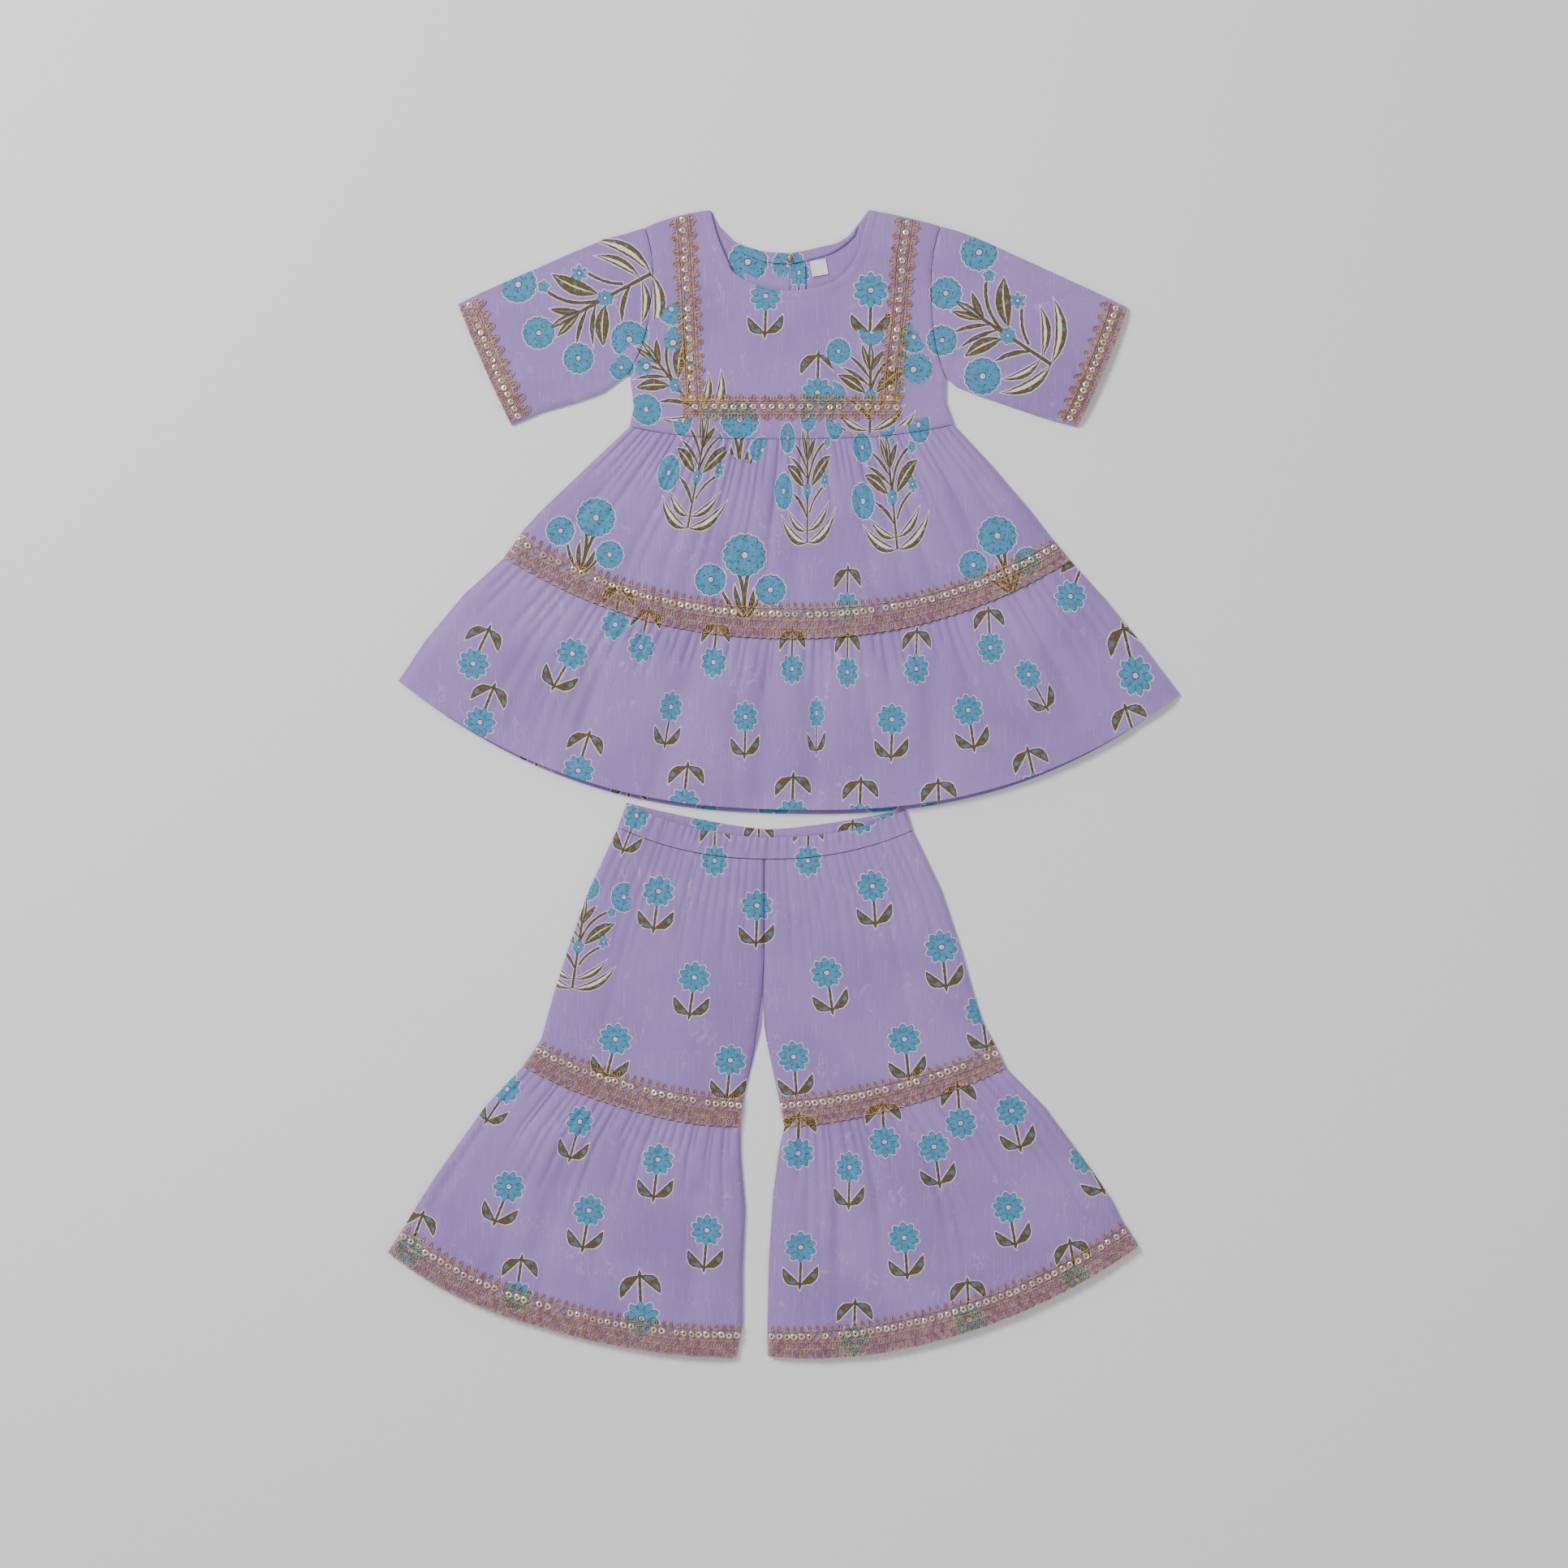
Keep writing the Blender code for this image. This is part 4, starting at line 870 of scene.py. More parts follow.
def finish_mesh(name, points, faces, materials, sharp=50.0):
    mesh = bpy.data.meshes.new(name)
    mesh.from_pydata((points * MM).tolist(), [], faces.tolist() if hasattr(faces, "tolist") else faces)
    solid = bmesh.new()
    solid.from_mesh(mesh)
    bmesh.ops.recalc_face_normals(solid, faces=solid.faces)
    solid.to_mesh(mesh)
    solid.free()
    mesh.shade_smooth()
    mesh.set_sharp_from_angle(angle=math.radians(sharp))
    for material in materials:
        mesh.materials.append(material)
    obj = bpy.data.objects.new(name, mesh)
    bpy.context.scene.collection.objects.link(obj)
    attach(obj, "root")
    return obj


def grid_faces(rows, columns, start):
    index = start + np.arange(rows * columns).reshape(rows, columns)
    return np.stack([index[:-1, :-1], index[:-1, 1:], index[1:, 1:], index[1:, :-1]], -1).reshape(-1, 4)


def rim_faces(rows, columns, start):
    """Faces between the edges of two grids that follow each other."""
    index = np.arange(rows * columns).reshape(rows, columns)
    edge = np.concatenate([index[0, :], index[1:, -1], index[-1, -2::-1], index[-2:0:-1, 0]])
    following = np.roll(edge, -1)
    second = rows * columns
    return start + np.stack([edge, following, following + second, edge + second], -1)


def cloth_sheet(name, upper, lower, frames_of=by_layer):
    """A thin sheet between two grids of points, printed unless frames_of is None."""
    rows, columns = upper.shape[:2]
    points = np.concatenate([upper.reshape(-1, 3), lower.reshape(-1, 3)])
    count = rows * columns
    faces = np.concatenate([grid_faces(rows, columns, 0), grid_faces(rows, columns, count), rim_faces(rows, columns, 0)])
    sheet = finish_mesh(name, points, faces, cottons if frames_of else [LABEL_MATERIAL])
    if frames_of:
        lay_print(sheet.data, points, frames_of)
    return sheet


class Panel:
    """A gathered panel of cloth: u runs across it and at counts its rows from the gathered edge."""

    def __init__(self, table, cloth, flat=False):
        self.table = table
        self.cloth = cloth
        self.flat = flat
        self.last = len(table) - 1
        draws = np.random.default_rng(cloth.seed + (100 if flat else 0))
        count = cloth.gathers
        self.valleys = (np.arange(count + 1) + draws.uniform(-0.3, 0.3, count + 1)) / count
        self.depths = draws.uniform(0.55, 1.0, count + 1)
        runs_down = draws.uniform(0, 1, count + 1) < cloth.long
        self.lengths = np.where(runs_down, draws.uniform(0.8, 1.6, count + 1), draws.uniform(0.12, 0.5, count + 1))
        self.slants = draws.uniform(-0.25, 0.25, count + 1) / count
        self.edge_grooves = 0.0

    def gathers(self, at, u):
        """Height of the gathers, rounded ridges between narrow valleys that fade at uneven lengths."""
        cloth = self.cloth
        down = at / self.last
        pressed = np.zeros_like(u)
        for valley, depth, length, slant in zip(self.valleys, self.depths, self.lengths, self.slants):
            width = (0.24 + 0.55 * down * min(length, 1.0)) / cloth.gathers
            away = np.abs(u - valley - slant * down) / width
            fade = soft_step((length - down) / max(0.45 * length, 0.08))
            pressed = np.maximum(pressed, depth * fade * np.exp(-(away**1.6)))
        height = mix(cloth.top, cloth.low, down**0.7)
        edge = soft_step(u / 0.012) * soft_step((1 - u) / 0.012)
        return height * (1 - pressed) * edge * mix(1.0, 1 - np.exp(-((down / 0.04) ** 2)), 0.25)

    def billow(self, at, u, x, y):
        down = at / self.last
        cloth = self.cloth
        swell = mix(0.15, 1.0, soft_step(down / 0.35)) * cloth.billow
        swell = mix(swell, cloth.hem, soft_step((down - 0.55) / 0.45))
        return swell * (1 - np.abs(2 * u - 1) ** 8) * unpressed(x, y)

    def place(self, at, u):
        """Points of the outer face, as x, y and z."""
        row = in_steps(self.table, at)
        x, y = on_row(row, u)
        if self.flat:
            return x, y, 0.45 * (1 - self.gathers(at, u) / max(self.cloth.top, 0.1)) * soft_step(u / 0.03) * soft_step((1 - u) / 0.03)
        roll = 0.75 * (1 - soft_step(np.minimum(u, 1 - u) / 0.02))
        z = FRONT_TOP - 0.35 - roll + self.gathers(at, u) + self.billow(at, u, x, y)
        return x, y, z

    def grid(self, columns, rows):
        u = np.linspace(0, 1, columns)[None, :].repeat(rows, 0)
        # Rows crowd towards the gathered edge
        at = (np.linspace(0, 1, rows) ** 1.25 * self.last)[:, None].repeat(columns, 1)
        return at, u


def front_panel(name, node, table, cloth):
    panel = Panel(table, cloth)
    at, u = panel.grid(cloth.columns, cloth.rows)
    x, y, z = panel.place(at, u)
    upper = np.stack([x, y, z], -1)
    lower = np.stack([x, y, z - THIN], -1)
    sheet = cloth_sheet(name, upper, lower)
    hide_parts(node)
    return sheet, panel


def back_panel(name, node, table, cloth, lace_from=None):
    """The back of a panel, lying on the surface, lifted a little where its own creases and lace are."""
    panel = Panel(table, cloth, flat=True)
    rows = max(cloth.rows // 2, 8)
    columns = cloth.columns // 2
    at, u = panel.grid(columns, rows)
    x, y, lift = panel.place(at, u)
    if lace_from is not None:
        lift = np.maximum(lift, BACK_LACE_LIFT * soft_step((at - lace_from) / 0.06))
    lower = np.stack([x, y, lift], -1)
    upper = np.stack([x, y, lift + THIN - 0.05], -1)
    sheet = cloth_sheet(name, upper, lower)
    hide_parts(node)
    return sheet, panel


# Bodice


def station_of(armhole):
    return Station(*armhole[:4], armhole.bow, 0.0)


def on_seam(seam, along):
    if seam == "waist":
        x, y = on_row(WAIST, along)
        return float(x), float(y) + SEAM_GAP
    left = seam.startswith("left")
    armhole = ARMHOLE_LEFT if left else ARMHOLE_RIGHT
    inwards = SEAM_GAP if left else -SEAM_GAP
    if seam.endswith("armhole"):
        x, y = on_station(station_of(armhole), along)
        return float(x) + inwards, float(y)
    side_x, side_y = SIDE_LEFT if left else SIDE_RIGHT
    share = 2 * along
    x = mix(armhole.underarm_x, side_x, share) + inwards * (1 - share)
    return x, mix(armhole.underarm_y, side_y, share)


def finer(points, splits, curved):
    """A line with extra points between its own, on a smooth curve or straight."""
    points = np.array(points, float)
    padded = np.concatenate([[2 * points[0] - points[1]], points, [2 * points[-1] - points[-2]]])
    made = []
    for before, first, second, after in zip(padded, padded[1:], padded[2:], padded[3:]):
        for k in range(splits):
            t = k / splits
            if curved:
                bend = (second - before) * t + (2 * before - 5 * first + 4 * second - after) * t**2
                made.append(first + 0.5 * (bend + (3 * first - before - 3 * second + after) * t**3))
            else:
                made.append(mix(first, second, t))
    made.append(points[-1])
    return np.array(made)


def bodice_rise(x, y):
    across = 1 - ((x - BODICE_MIDDLE[0]) / BODICE_REACH[0]) ** 2
    down = 1 - ((y - BODICE_MIDDLE[1]) / BODICE_REACH[1]) ** 2
    return BODICE_RISE * np.maximum(across, 0.0) * np.maximum(down, 0.0)


def bodice_height(x, y):
    """Outer face of the front bodice, with its soft wrinkles."""
    wrinkle = 0.28 * np.sin(x * 0.11 + 2.1 * np.sin(y * 0.045)) * np.sin(y * 0.02 + 0.6)
    return FRONT_TOP + bodice_rise(x, y) * mix(0.75, 1.0, unpressed(x, y)) + wrinkle


def bodice_front():
    neck = finer([(ray.neck_x, ray.neck_y) for ray in BODICE_RAYS], RAY_SPLITS, True)
    edge = finer([on_seam(ray.seam, ray.along) for ray in BODICE_RAYS], RAY_SPLITS, False)
    rises = finer([(ray.rise, 0.0) for ray in BODICE_RAYS], RAY_SPLITS, False)[:, 0]
    step = (np.linspace(0, 1, RAY_SAMPLES) ** 1.1)[None, :, None]
    flat = mix(neck[:, None, :], edge[:, None, :], step)
    x = flat[..., 0]
    y = flat[..., 1] + rises[:, None] * (1 - (2 * step[..., 0] - 1) ** 2)
    from_neck = np.hypot(x - neck[:, None, 0], y - neck[:, None, 1])
    from_edge = np.hypot(x - edge[:, None, 0], y - edge[:, None, 1])
    # The neck's turned edge is a little thicker, and the seams are drawn in
    turned = 0.35 * soft_step(from_neck / 0.8) * (1 - soft_step((from_neck - 4.6) / 0.8))
    seam = 0.75 * (1 - soft_step(from_edge / 2.2))
    z = bodice_height(x, y) + turned - seam
    upper = np.stack([x, y, z], -1)
    lower = np.stack([x, y, z - THIN], -1)
    sheet = cloth_sheet("bodice_front_cloth", upper, lower)
    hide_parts("bodice_front")
    way = edge - neck
    way = way / np.linalg.norm(way, axis=1, keepdims=True)
    line = neck + way * NECK_STITCH_DEPTH
    height = bodice_height(line[:, 0], line[:, 1]) + 0.2
    return sheet, np.concatenate([line, height[:, None]], 1)


def even_line(points, count):
    """Points spread evenly along a line."""
    points = np.array(points, float)
    steps = np.hypot(*np.diff(points, axis=0).T)
    length = np.concatenate([[0.0], np.cumsum(steps)])
    places = np.linspace(0, length[-1], count)
    return np.stack([np.interp(places, length, points[:, k]) for k in range(2)], -1)


def bodice_back():
    """The back, in two halves of one sheet that part along the centre slit."""
    half = SLIT_WIDTH / 2
    count = 90
    slit_foot = (SLIT_X, SLIT_BOTTOM)
    edge = [on_seam(ray.seam, ray.along) for ray in BODICE_RAYS]
    middle = 13
    halves = (
        ([*BACK_NECK_LEFT, (SLIT_X - half, SLIT_TOP), slit_foot], edge[: middle + 1]),
        ([slit_foot, (SLIT_X + half, SLIT_TOP), *BACK_NECK_RIGHT], edge[middle:]),
    )
    inner = np.concatenate([even_line(halves[0][0], count), even_line(halves[1][0], count)[1:]])
    outer = np.concatenate([even_line(halves[0][1], count), even_line(halves[1][1], count)[1:]])
    step = np.linspace(0, 1, 26)[None, :, None]
    flat = mix(inner[:, None, :], outer[:, None, :], step)
    x, y = flat[..., 0], flat[..., 1]
    ray_rise = 1.4 * (1 - (2 * step[..., 0] - 1) ** 2)
    ends = np.zeros(len(inner))
    ends[0], ends[-1] = 1.0, 0.5
    y = y + ends[:, None] * ray_rise
    from_edge = np.hypot(x - outer[:, None, 0], y - outer[:, None, 1])
    lift = 0.22 * (1 + np.sin(x * 0.13 + 1.7 * np.sin(y * 0.05))) * soft_step(from_edge / 6.0)
    lower = np.stack([x, y, lift], -1)
    upper = np.stack([x, y, lift + THIN], -1)
    sheet = cloth_sheet("bodice_back_cloth", upper, lower, in_neck)
    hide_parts("bodice_back")
    return sheet


def strip_between(name, rows, bottom, thickness, node):
    """A strip of cloth between two edges, such as a facing."""
    steps = 9
    top = finer([(row.neck_x, row.neck_y) for row in rows], 8, len(rows) > 3)
    low = finer([(row.low_x, row.low_y) for row in rows], 8, len(rows) > 3)
    share = np.linspace(0, 1, steps)[None, :, None]
    flat = mix(top[:, None, :], low[:, None, :], share)
    crown = 0.22 * np.sin(np.pi * share[..., 0]) ** 0.6 * np.ones(flat.shape[:2])
    rumple = 0.06 * np.sin(flat[..., 0] * 1.9)
    x, y = flat[..., 0], flat[..., 1]
    upper = np.stack([x, y, bottom + thickness + crown + rumple], -1)
    lower = np.stack([x, y, np.full_like(x, bottom)], -1)
    sheet = cloth_sheet(name, upper, lower, in_neck)
    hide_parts(node)
    return sheet


# Sleeves


def sleeve_height(station, s, x, y):
    puffed = station.puff * (1 - np.abs(2 * s - 1) ** 4) * unpressed(x, y)
    wrinkle = 0.22 * np.sin(x * 0.16 + 2.0 * np.sin(y * 0.06)) * (1 - np.abs(2 * s - 1) ** 4)
    return FRONT_TOP + puffed + wrinkle


def sleeve_points(stations, at, s, layer):
    station = in_steps(stations, at)
    x, y = on_station(station, s)
    if layer == "front":
        z = sleeve_height(station, s, x, y)
        return x, y, z
    lift = 0.2 * (1 + np.sin(x * 0.17 + 1.5 * np.sin(y * 0.07))) * (1 - np.abs(2 * s - 1) ** 4)
    laced = BACK_LACE_LIFT * soft_step((at - SLEEVE_LACE_STATION) / 0.08)
    return x, y, np.maximum(lift, laced * (s < 0.985))


def sleeve(name, node, stations):
    """A folded sleeve: its back layer, the fold along its top, and its front layer, in one tube."""
    last = len(stations) - 1
    at = (np.linspace(0, 1, SLEEVE_ROWS) * last)[:, None]
    s = np.linspace(1.0, 0.02, SLEEVE_SAMPLES)[None, :].repeat(SLEEVE_ROWS, 0)
    at_all = at.repeat(SLEEVE_SAMPLES, 1)
    armhole_seam = 0.6 * (1 - soft_step(at_all / 0.12))
    underarm = 0.8 * (1 - soft_step((1 - s) / 0.02))
    bx, by, bz = sleeve_points(stations, at_all, s, "back")
    front_s = s[:, ::-1]
    fx, fy, fz = sleeve_points(stations, at_all, front_s, "front")
    fz = fz - armhole_seam - underarm[:, ::-1]
    back_outer = np.stack([bx, by, bz], -1)
    back_inner = np.stack([bx, by, bz + THIN - 0.1], -1)
    front_outer = np.stack([fx, fy, fz], -1)
    front_inner = np.stack([fx, fy, fz - THIN + 0.1], -1)
    arcs = []
    rows = in_steps(stations, at_all[:, :FOLD_STEPS])
    length = np.hypot(rows.top_x - rows.low_x, rows.top_y - rows.low_y)
    first_z, last_z = bz[:, -1:], fz[:, :1]
    for radius_share in (1.0, 0.45):
        turn = np.linspace(-90, 90, FOLD_STEPS + 2)[1:-1][None, :]
        middle, half = (first_z + last_z) / 2, (last_z - first_z) / 2 * radius_share
        depth = FOLD_RADIUS * (1 - radius_share * np.cos(np.radians(turn)))
        x, y = on_station(rows, depth / length)
        arcs.append(np.stack([x, y, middle + half * np.sin(np.radians(turn))], -1))
    outer = np.concatenate([back_outer, arcs[0], front_outer], 1)
    inner = np.concatenate([back_inner, arcs[1], front_inner], 1)
    sheet = cloth_sheet(name, outer, inner)
    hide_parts(node)
    return sheet


# Lace and stitches


class Threads:
    """Round threads and ring sequins, gathered into one mesh."""

    def __init__(self):
        self.points = []
        self.faces = []
        self.looks = []
        self.count = 0

    def keep(self, points, faces, look):
        self.points.append(points)
        self.faces.append(faces + self.count)
        self.looks.append(np.full(len(faces), look))
        self.count += len(points)

    def tube(self, path, radius, sides=4, closed=False, look=0):
        """A thread along a path, with its ends drawn to a point unless it is closed."""
        path = np.asarray(path, float)
        count = len(path)
        if closed:
            ahead = np.roll(path, -1, 0) - np.roll(path, 1, 0)
        else:
            ahead = np.gradient(path, axis=0)
        side = np.stack([ahead[:, 1], -ahead[:, 0], np.zeros(count)], -1)
        side /= np.maximum(np.linalg.norm(side, axis=1, keepdims=True), 1e-9)
        turns = np.arange(sides) * 2 * np.pi / sides + np.pi / 4
        radii = np.full(count, radius)
        if not closed:
            radii[[0, -1]] *= 0.45
        ring = path[:, None, :] + radii[:, None, None] * (
            side[:, None, :] * np.cos(turns)[None, :, None] + np.array([0, 0, 1.0]) * np.sin(turns)[None, :, None]
        )
        index = np.arange(count * sides).reshape(count, sides)
        if closed:
            index = np.concatenate([index, index[:1]])
        beside = np.roll(index, -1, 1)
        quads = np.stack([index[:-1], beside[:-1], beside[1:], index[1:]], -1).reshape(-1, 4)
        self.keep(ring.reshape(-1, 3), quads, look)
        if not closed:
            self.cap(index[0][::-1], look)
            self.cap(index[-1], look)

    def cap(self, ring, look):
        """Closes an end of the last thread, which has four sides, with one face."""
        self.faces.append(np.array([ring]) + self.count - len(self.points[-1]))
        self.looks.append(np.array([look]))

    def ring(self, centre, outer, hole, thick, tilt_x=0.0, tilt_y=0.0, sides=12, look=1):
        """A flat ring with rounded edges."""
        turns = np.arange(sides) * 2 * np.pi / sides
        section = ((outer, 0.0), (mix(outer, hole, 0.35), thick), (hole, thick * 0.55), (mix(outer, hole, 0.5), -0.05))
        rings = []
        for reach, height in section:
            x, y = reach * np.cos(turns), reach * np.sin(turns)
            rings.append(np.stack([centre[0] + x, centre[1] + y, centre[2] + height + x * tilt_x + y * tilt_y], -1))
        points = np.concatenate(rings)
        index = np.arange(len(points)).reshape(len(section), sides)
        below = np.roll(index, -1, 0)
        beside, corner = np.roll(index, -1, 1), np.roll(below, -1, 1)
        faces = np.stack([index, beside, corner, below], -1).reshape(-1, 4)
        self.keep(points, faces, look)

    def make(self, name, materials, node=None):
        points = np.concatenate(self.points)
        faces = np.concatenate(self.faces)
        obj = finish_mesh(name, points, faces, materials, 40.0)
        obj.data.polygons.foreach_set("material_index", np.concatenate(self.looks).astype(np.int32))
        if node:
            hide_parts(node)
        return obj


# Parts of a lace, across its width w in millimetres from its upper edge. A cord waves by wave over pitch, a
# row of loops fills low to high, and rings are sequins.
Cord = collections.namedtuple("Cord", "w wave pitch shift radius", defaults=(0.0, 4.0, 0.0, 0.3))
Loops = collections.namedtuple("Loops", "top low pitch wide radius pointed", defaults=(0.26, 0.0))
Rings = collections.namedtuple("Rings", "w pitch outer hole", defaults=(0.8,))
Net = collections.namedtuple("Net", "top low pitch radius", defaults=(0.13,))

WIDE_LACE = (
    Net(3.8, 21.4, 2.75),
    Loops(0.0, 3.9, 5.5, 2.6, 0.3, 1.0),
    Cord(3.9, 0.35, 5.5, 0.0, 0.36),
    Rings(7.6, 5.5, 2.2),
    Cord(7.6, 2.8, 11.0, 0.0, 0.28),
    Cord(7.6, 2.8, 11.0, 0.5, 0.28),
    Cord(11.3, 0.25, 5.5, 0.0, 0.36),
    Loops(11.6, 15.8, 3.67, 2.5, 0.25),
    Cord(16.1, 0.3, 3.67, 0.0, 0.3),
    Loops(16.4, 21.2, 5.5, 3.9, 0.27),
    Loops(17.6, 20.4, 5.5, 1.7, 0.22),
    Cord(21.8, 0.5, 5.5, 0.25, 0.36),
)
WIDE_LACE_WIDTH = 22.2
YOKE_LACE = (
    Net(3.6, 14.4, 3.0),
    Loops(0.2, 4.2, 8.8, 4.4, 0.3, 0.8),
    Loops(1.6, 4.2, 8.8, 2.0, 0.24),
    Loops(1.6, 4.6, 4.4, 2.6, 0.24),
    Cord(4.6, 0.3, 4.4, 0.0, 0.36),
    Cord(6.2, 0.2, 4.4, 0.0, 0.3),
    Rings(9.0, 6.6, 2.1, 0.7),
    Cord(9.0, 2.5, 13.2, 0.25, 0.26),
    Cord(9.0, 2.5, 13.2, 0.75, 0.26),
    Cord(11.8, 0.2, 4.4, 0.0, 0.3),
    Cord(13.4, 0.3, 4.4, 0.5, 0.36),
    Loops(13.4, 16.4, 4.4, 2.6, 0.24),
    Loops(13.8, 16.4, 8.8, 2.0, 0.24),
    Loops(13.8, 17.8, 8.8, 4.4, 0.3, 0.8),
)
YOKE_LACE_WIDTH = 18.0
CUFF_LACE = (
    Net(5.0, 15.0, 2.9),
    Loops(0.4, 5.4, 8.8, 5.4, 0.3, 0.4),
    Loops(2.2, 5.4, 8.8, 2.6, 0.24),
    Loops(3.0, 6.0, 4.4, 2.4, 0.24),
    Cord(5.8, 0.3, 4.4, 0.0, 0.38),
    Cord(7.2, 0.2, 4.4, 0.0, 0.3),
    Rings(9.8, 5.3, 2.1, 0.7),
    Cord(9.8, 2.4, 10.6, 0.25, 0.25),
    Cord(9.8, 2.4, 10.6, 0.75, 0.25),
    Cord(12.4, 0.2, 4.4, 0.0, 0.32),
    Loops(12.6, 15.2, 4.4, 2.8, 0.25),
    Cord(15.7, 0.3, 4.4, 0.5, 0.38),
)
CUFF_LACE_WIDTH = 16.2


def make_lace(name, recipe, width, length, place, node=None, plain=False, seed=1):
    """Lace along a run: place gives points from shares along the run and across the lace, and a height."""
    draws = np.random.default_rng(seed)
    threads = Threads()
    flat = 0.45 if plain else 1.0
    sides = 4

    def laid(s, w, height):
        s, w, height = np.broadcast_arrays(s, w, height)
        return place(np.clip(s / length, 0, 1), w / width, height * flat)

    for part in recipe:
        if isinstance(part, Cord):
            points = max(int(length / (part.pitch / 4)), 8) + 1
            s = np.linspace(0, length, points)
            w = part.w + part.wave * np.sin(2 * np.pi * (s / part.pitch + part.shift))
            threads.tube(laid(s, w, 0.45 + 0.1 * np.sin(s * 2.1)), part.radius, sides)
        elif isinstance(part, Loops):
            count = max(round(length / part.pitch), 1)
            turn = np.arange(7 if plain else 10) / (7 if plain else 10) * 2 * np.pi
            for k in range(count):
                middle = (k + 0.5) * length / count + draws.uniform(-0.25, 0.25)
                half = (part.low - part.top) / 2
                across = part.wide / 2 * np.sin(turn) * (1 - part.pointed * 0.35 * (1 + np.cos(turn)))
                s = np.clip(middle + across, 0.1, length - 0.1)
                w = (part.low + part.top) / 2 - half * np.cos(turn) + draws.uniform(-0.15, 0.15)
                threads.tube(laid(s, w, 0.4), part.radius, sides, True)
        elif isinstance(part, Rings):
            count = max(round(length / part.pitch), 1)
            for k in range(count):
                s = (k + 0.5) * length / count + draws.uniform(-0.35, 0.35)
                w = part.w + draws.uniform(-0.35, 0.35)
                tilts = draws.uniform(-0.16, 0.16, 2)
                if draws.uniform() < 0.1 or plain:
                    continue
                centre = laid(np.array([s]), np.array([w]), 0.75)[0]
                threads.ring(centre, part.outer * draws.uniform(0.85, 1.05), part.hole, 0.25, *tilts)
        else:
            if plain:
                continue
            count = int(length / part.pitch)
            lean = part.low - part.top
            for k in range(count):
                for side in (0.35, -0.35):
                    start = (k + 0.5) * part.pitch
                    s = np.clip(start + np.array([-side, 0.0, side]) * lean, 0.1, length - 0.1)
                    w = np.array([part.top, (part.top + part.low) / 2, part.low])
                    threads.tube(laid(s, w, 0.15), part.radius, sides)
    return threads.make(name, GOLD_MATERIALS, node)


def lace_on_panel(name, node, panel, first, seed):
    """Lace over a panel from the place first in its rows to its far edge."""
    row = panel.table[-1]
    u = np.linspace(0, 1, 60)
    x, y = on_row(in_steps(panel.table, np.full(60, (first + panel.last) / 2)), u)
    length = float(np.hypot(np.diff(x), np.diff(y)).sum())
    window = np.linspace(-1, 1, 5) * 1.6 / length

    def place(along, across, height):
        at = mix(first, panel.last, across)
        x, y, z = panel.place(at, along)
        for shift in window:
            z = np.maximum(z, panel.place(at, np.clip(along + shift, 0.004, 0.996))[2])
        return np.stack([x, y, z + LACE_LIFT + height], -1)

    return make_lace(name, WIDE_LACE, WIDE_LACE_WIDTH, length, place, node, seed=seed)


def lace_under_panel(name, panel, first, seed):
    """The same lace on the back, pressed flat between the cloth and the surface."""
    u = np.linspace(0, 1, 60)
    x, y = on_row(in_steps(panel.table, np.full(60, (first + panel.last) / 2)), u)
    length = float(np.hypot(np.diff(x), np.diff(y)).sum())

    def place(along, across, height):
        x, y = on_row(in_steps(panel.table, mix(first, panel.last, across)), along)
        return np.stack([x, y, BACK_LACE_LIFT - 0.3 - height * 0.1], -1)

    return make_lace(name, WIDE_LACE, WIDE_LACE_WIDTH, length, place, plain=True, seed=seed)


def cuff_lace(name, node, stations, seed, under=False):
    top, low = stations[SLEEVE_LACE_STATION], stations[-1]
    length = math.hypot(low.top_x - low.low_x, low.top_y - low.low_y)
    first = SLEEVE_LACE_STATION - 0.05

    def place(along, across, height):
        at = mix(first, len(stations) - 1.0, across)
        s = mix(0.025, 0.985, along)
        if under:
            x, y, _ = sleeve_points(stations, at, s, "back")
            return np.stack([x, y, np.full_like(x, BACK_LACE_LIFT - 0.3) - height * 0.1], -1)
        x, y, z = sleeve_points(stations, at, s, "front")
        return np.stack([x, y, z + LACE_LIFT + height], -1)

    return make_lace(name, CUFF_LACE, CUFF_LACE_WIDTH, length, place, node, under, seed)


def line_value(line, key):
    keys = [place for place, _ in line]
    values = [value for _, value in line]
    return np.interp(-np.asarray(key), -np.array(keys), values)


def shoulder_y(x):
    left = x < BODICE_MIDDLE[0]
    neck_x = np.where(left, BODICE_RAYS[0].neck_x, BODICE_RAYS[-1].neck_x)
    neck_y = np.where(left, BODICE_RAYS[0].neck_y, BODICE_RAYS[-1].neck_y)
    tip_x = np.where(left, ARMHOLE_LEFT.shoulder_x, ARMHOLE_RIGHT.shoulder_x)
    tip_y = np.where(left, ARMHOLE_LEFT.shoulder_y, ARMHOLE_RIGHT.shoulder_y)
    rise = np.where(left, BODICE_RAYS[0].rise, BODICE_RAYS[-1].rise)
    share = (x - neck_x) / (tip_x - neck_x)
    return mix(neck_y, tip_y, share) + rise * (1 - (2 * share - 1) ** 2) - 2 * SEAM_GAP


def yoke_side(name, node, line, outwards, seed):
    bottom = YOKE_BOTTOM_Y + YOKE_HALF_WIDTH * 0.3
    top = line[0][0]

    def place(along, across, height):
        y = mix(top, bottom, along)
        x = line_value(line, y) + outwards * (0.5 - across) * YOKE_LACE_WIDTH
        y = mix(shoulder_y(x), bottom, along)
        return np.stack([x, y, bodice_height(x, y) + LACE_LIFT + height], -1)

    return make_lace(name, YOKE_LACE, YOKE_LACE_WIDTH, top - bottom, place, node, seed=seed)


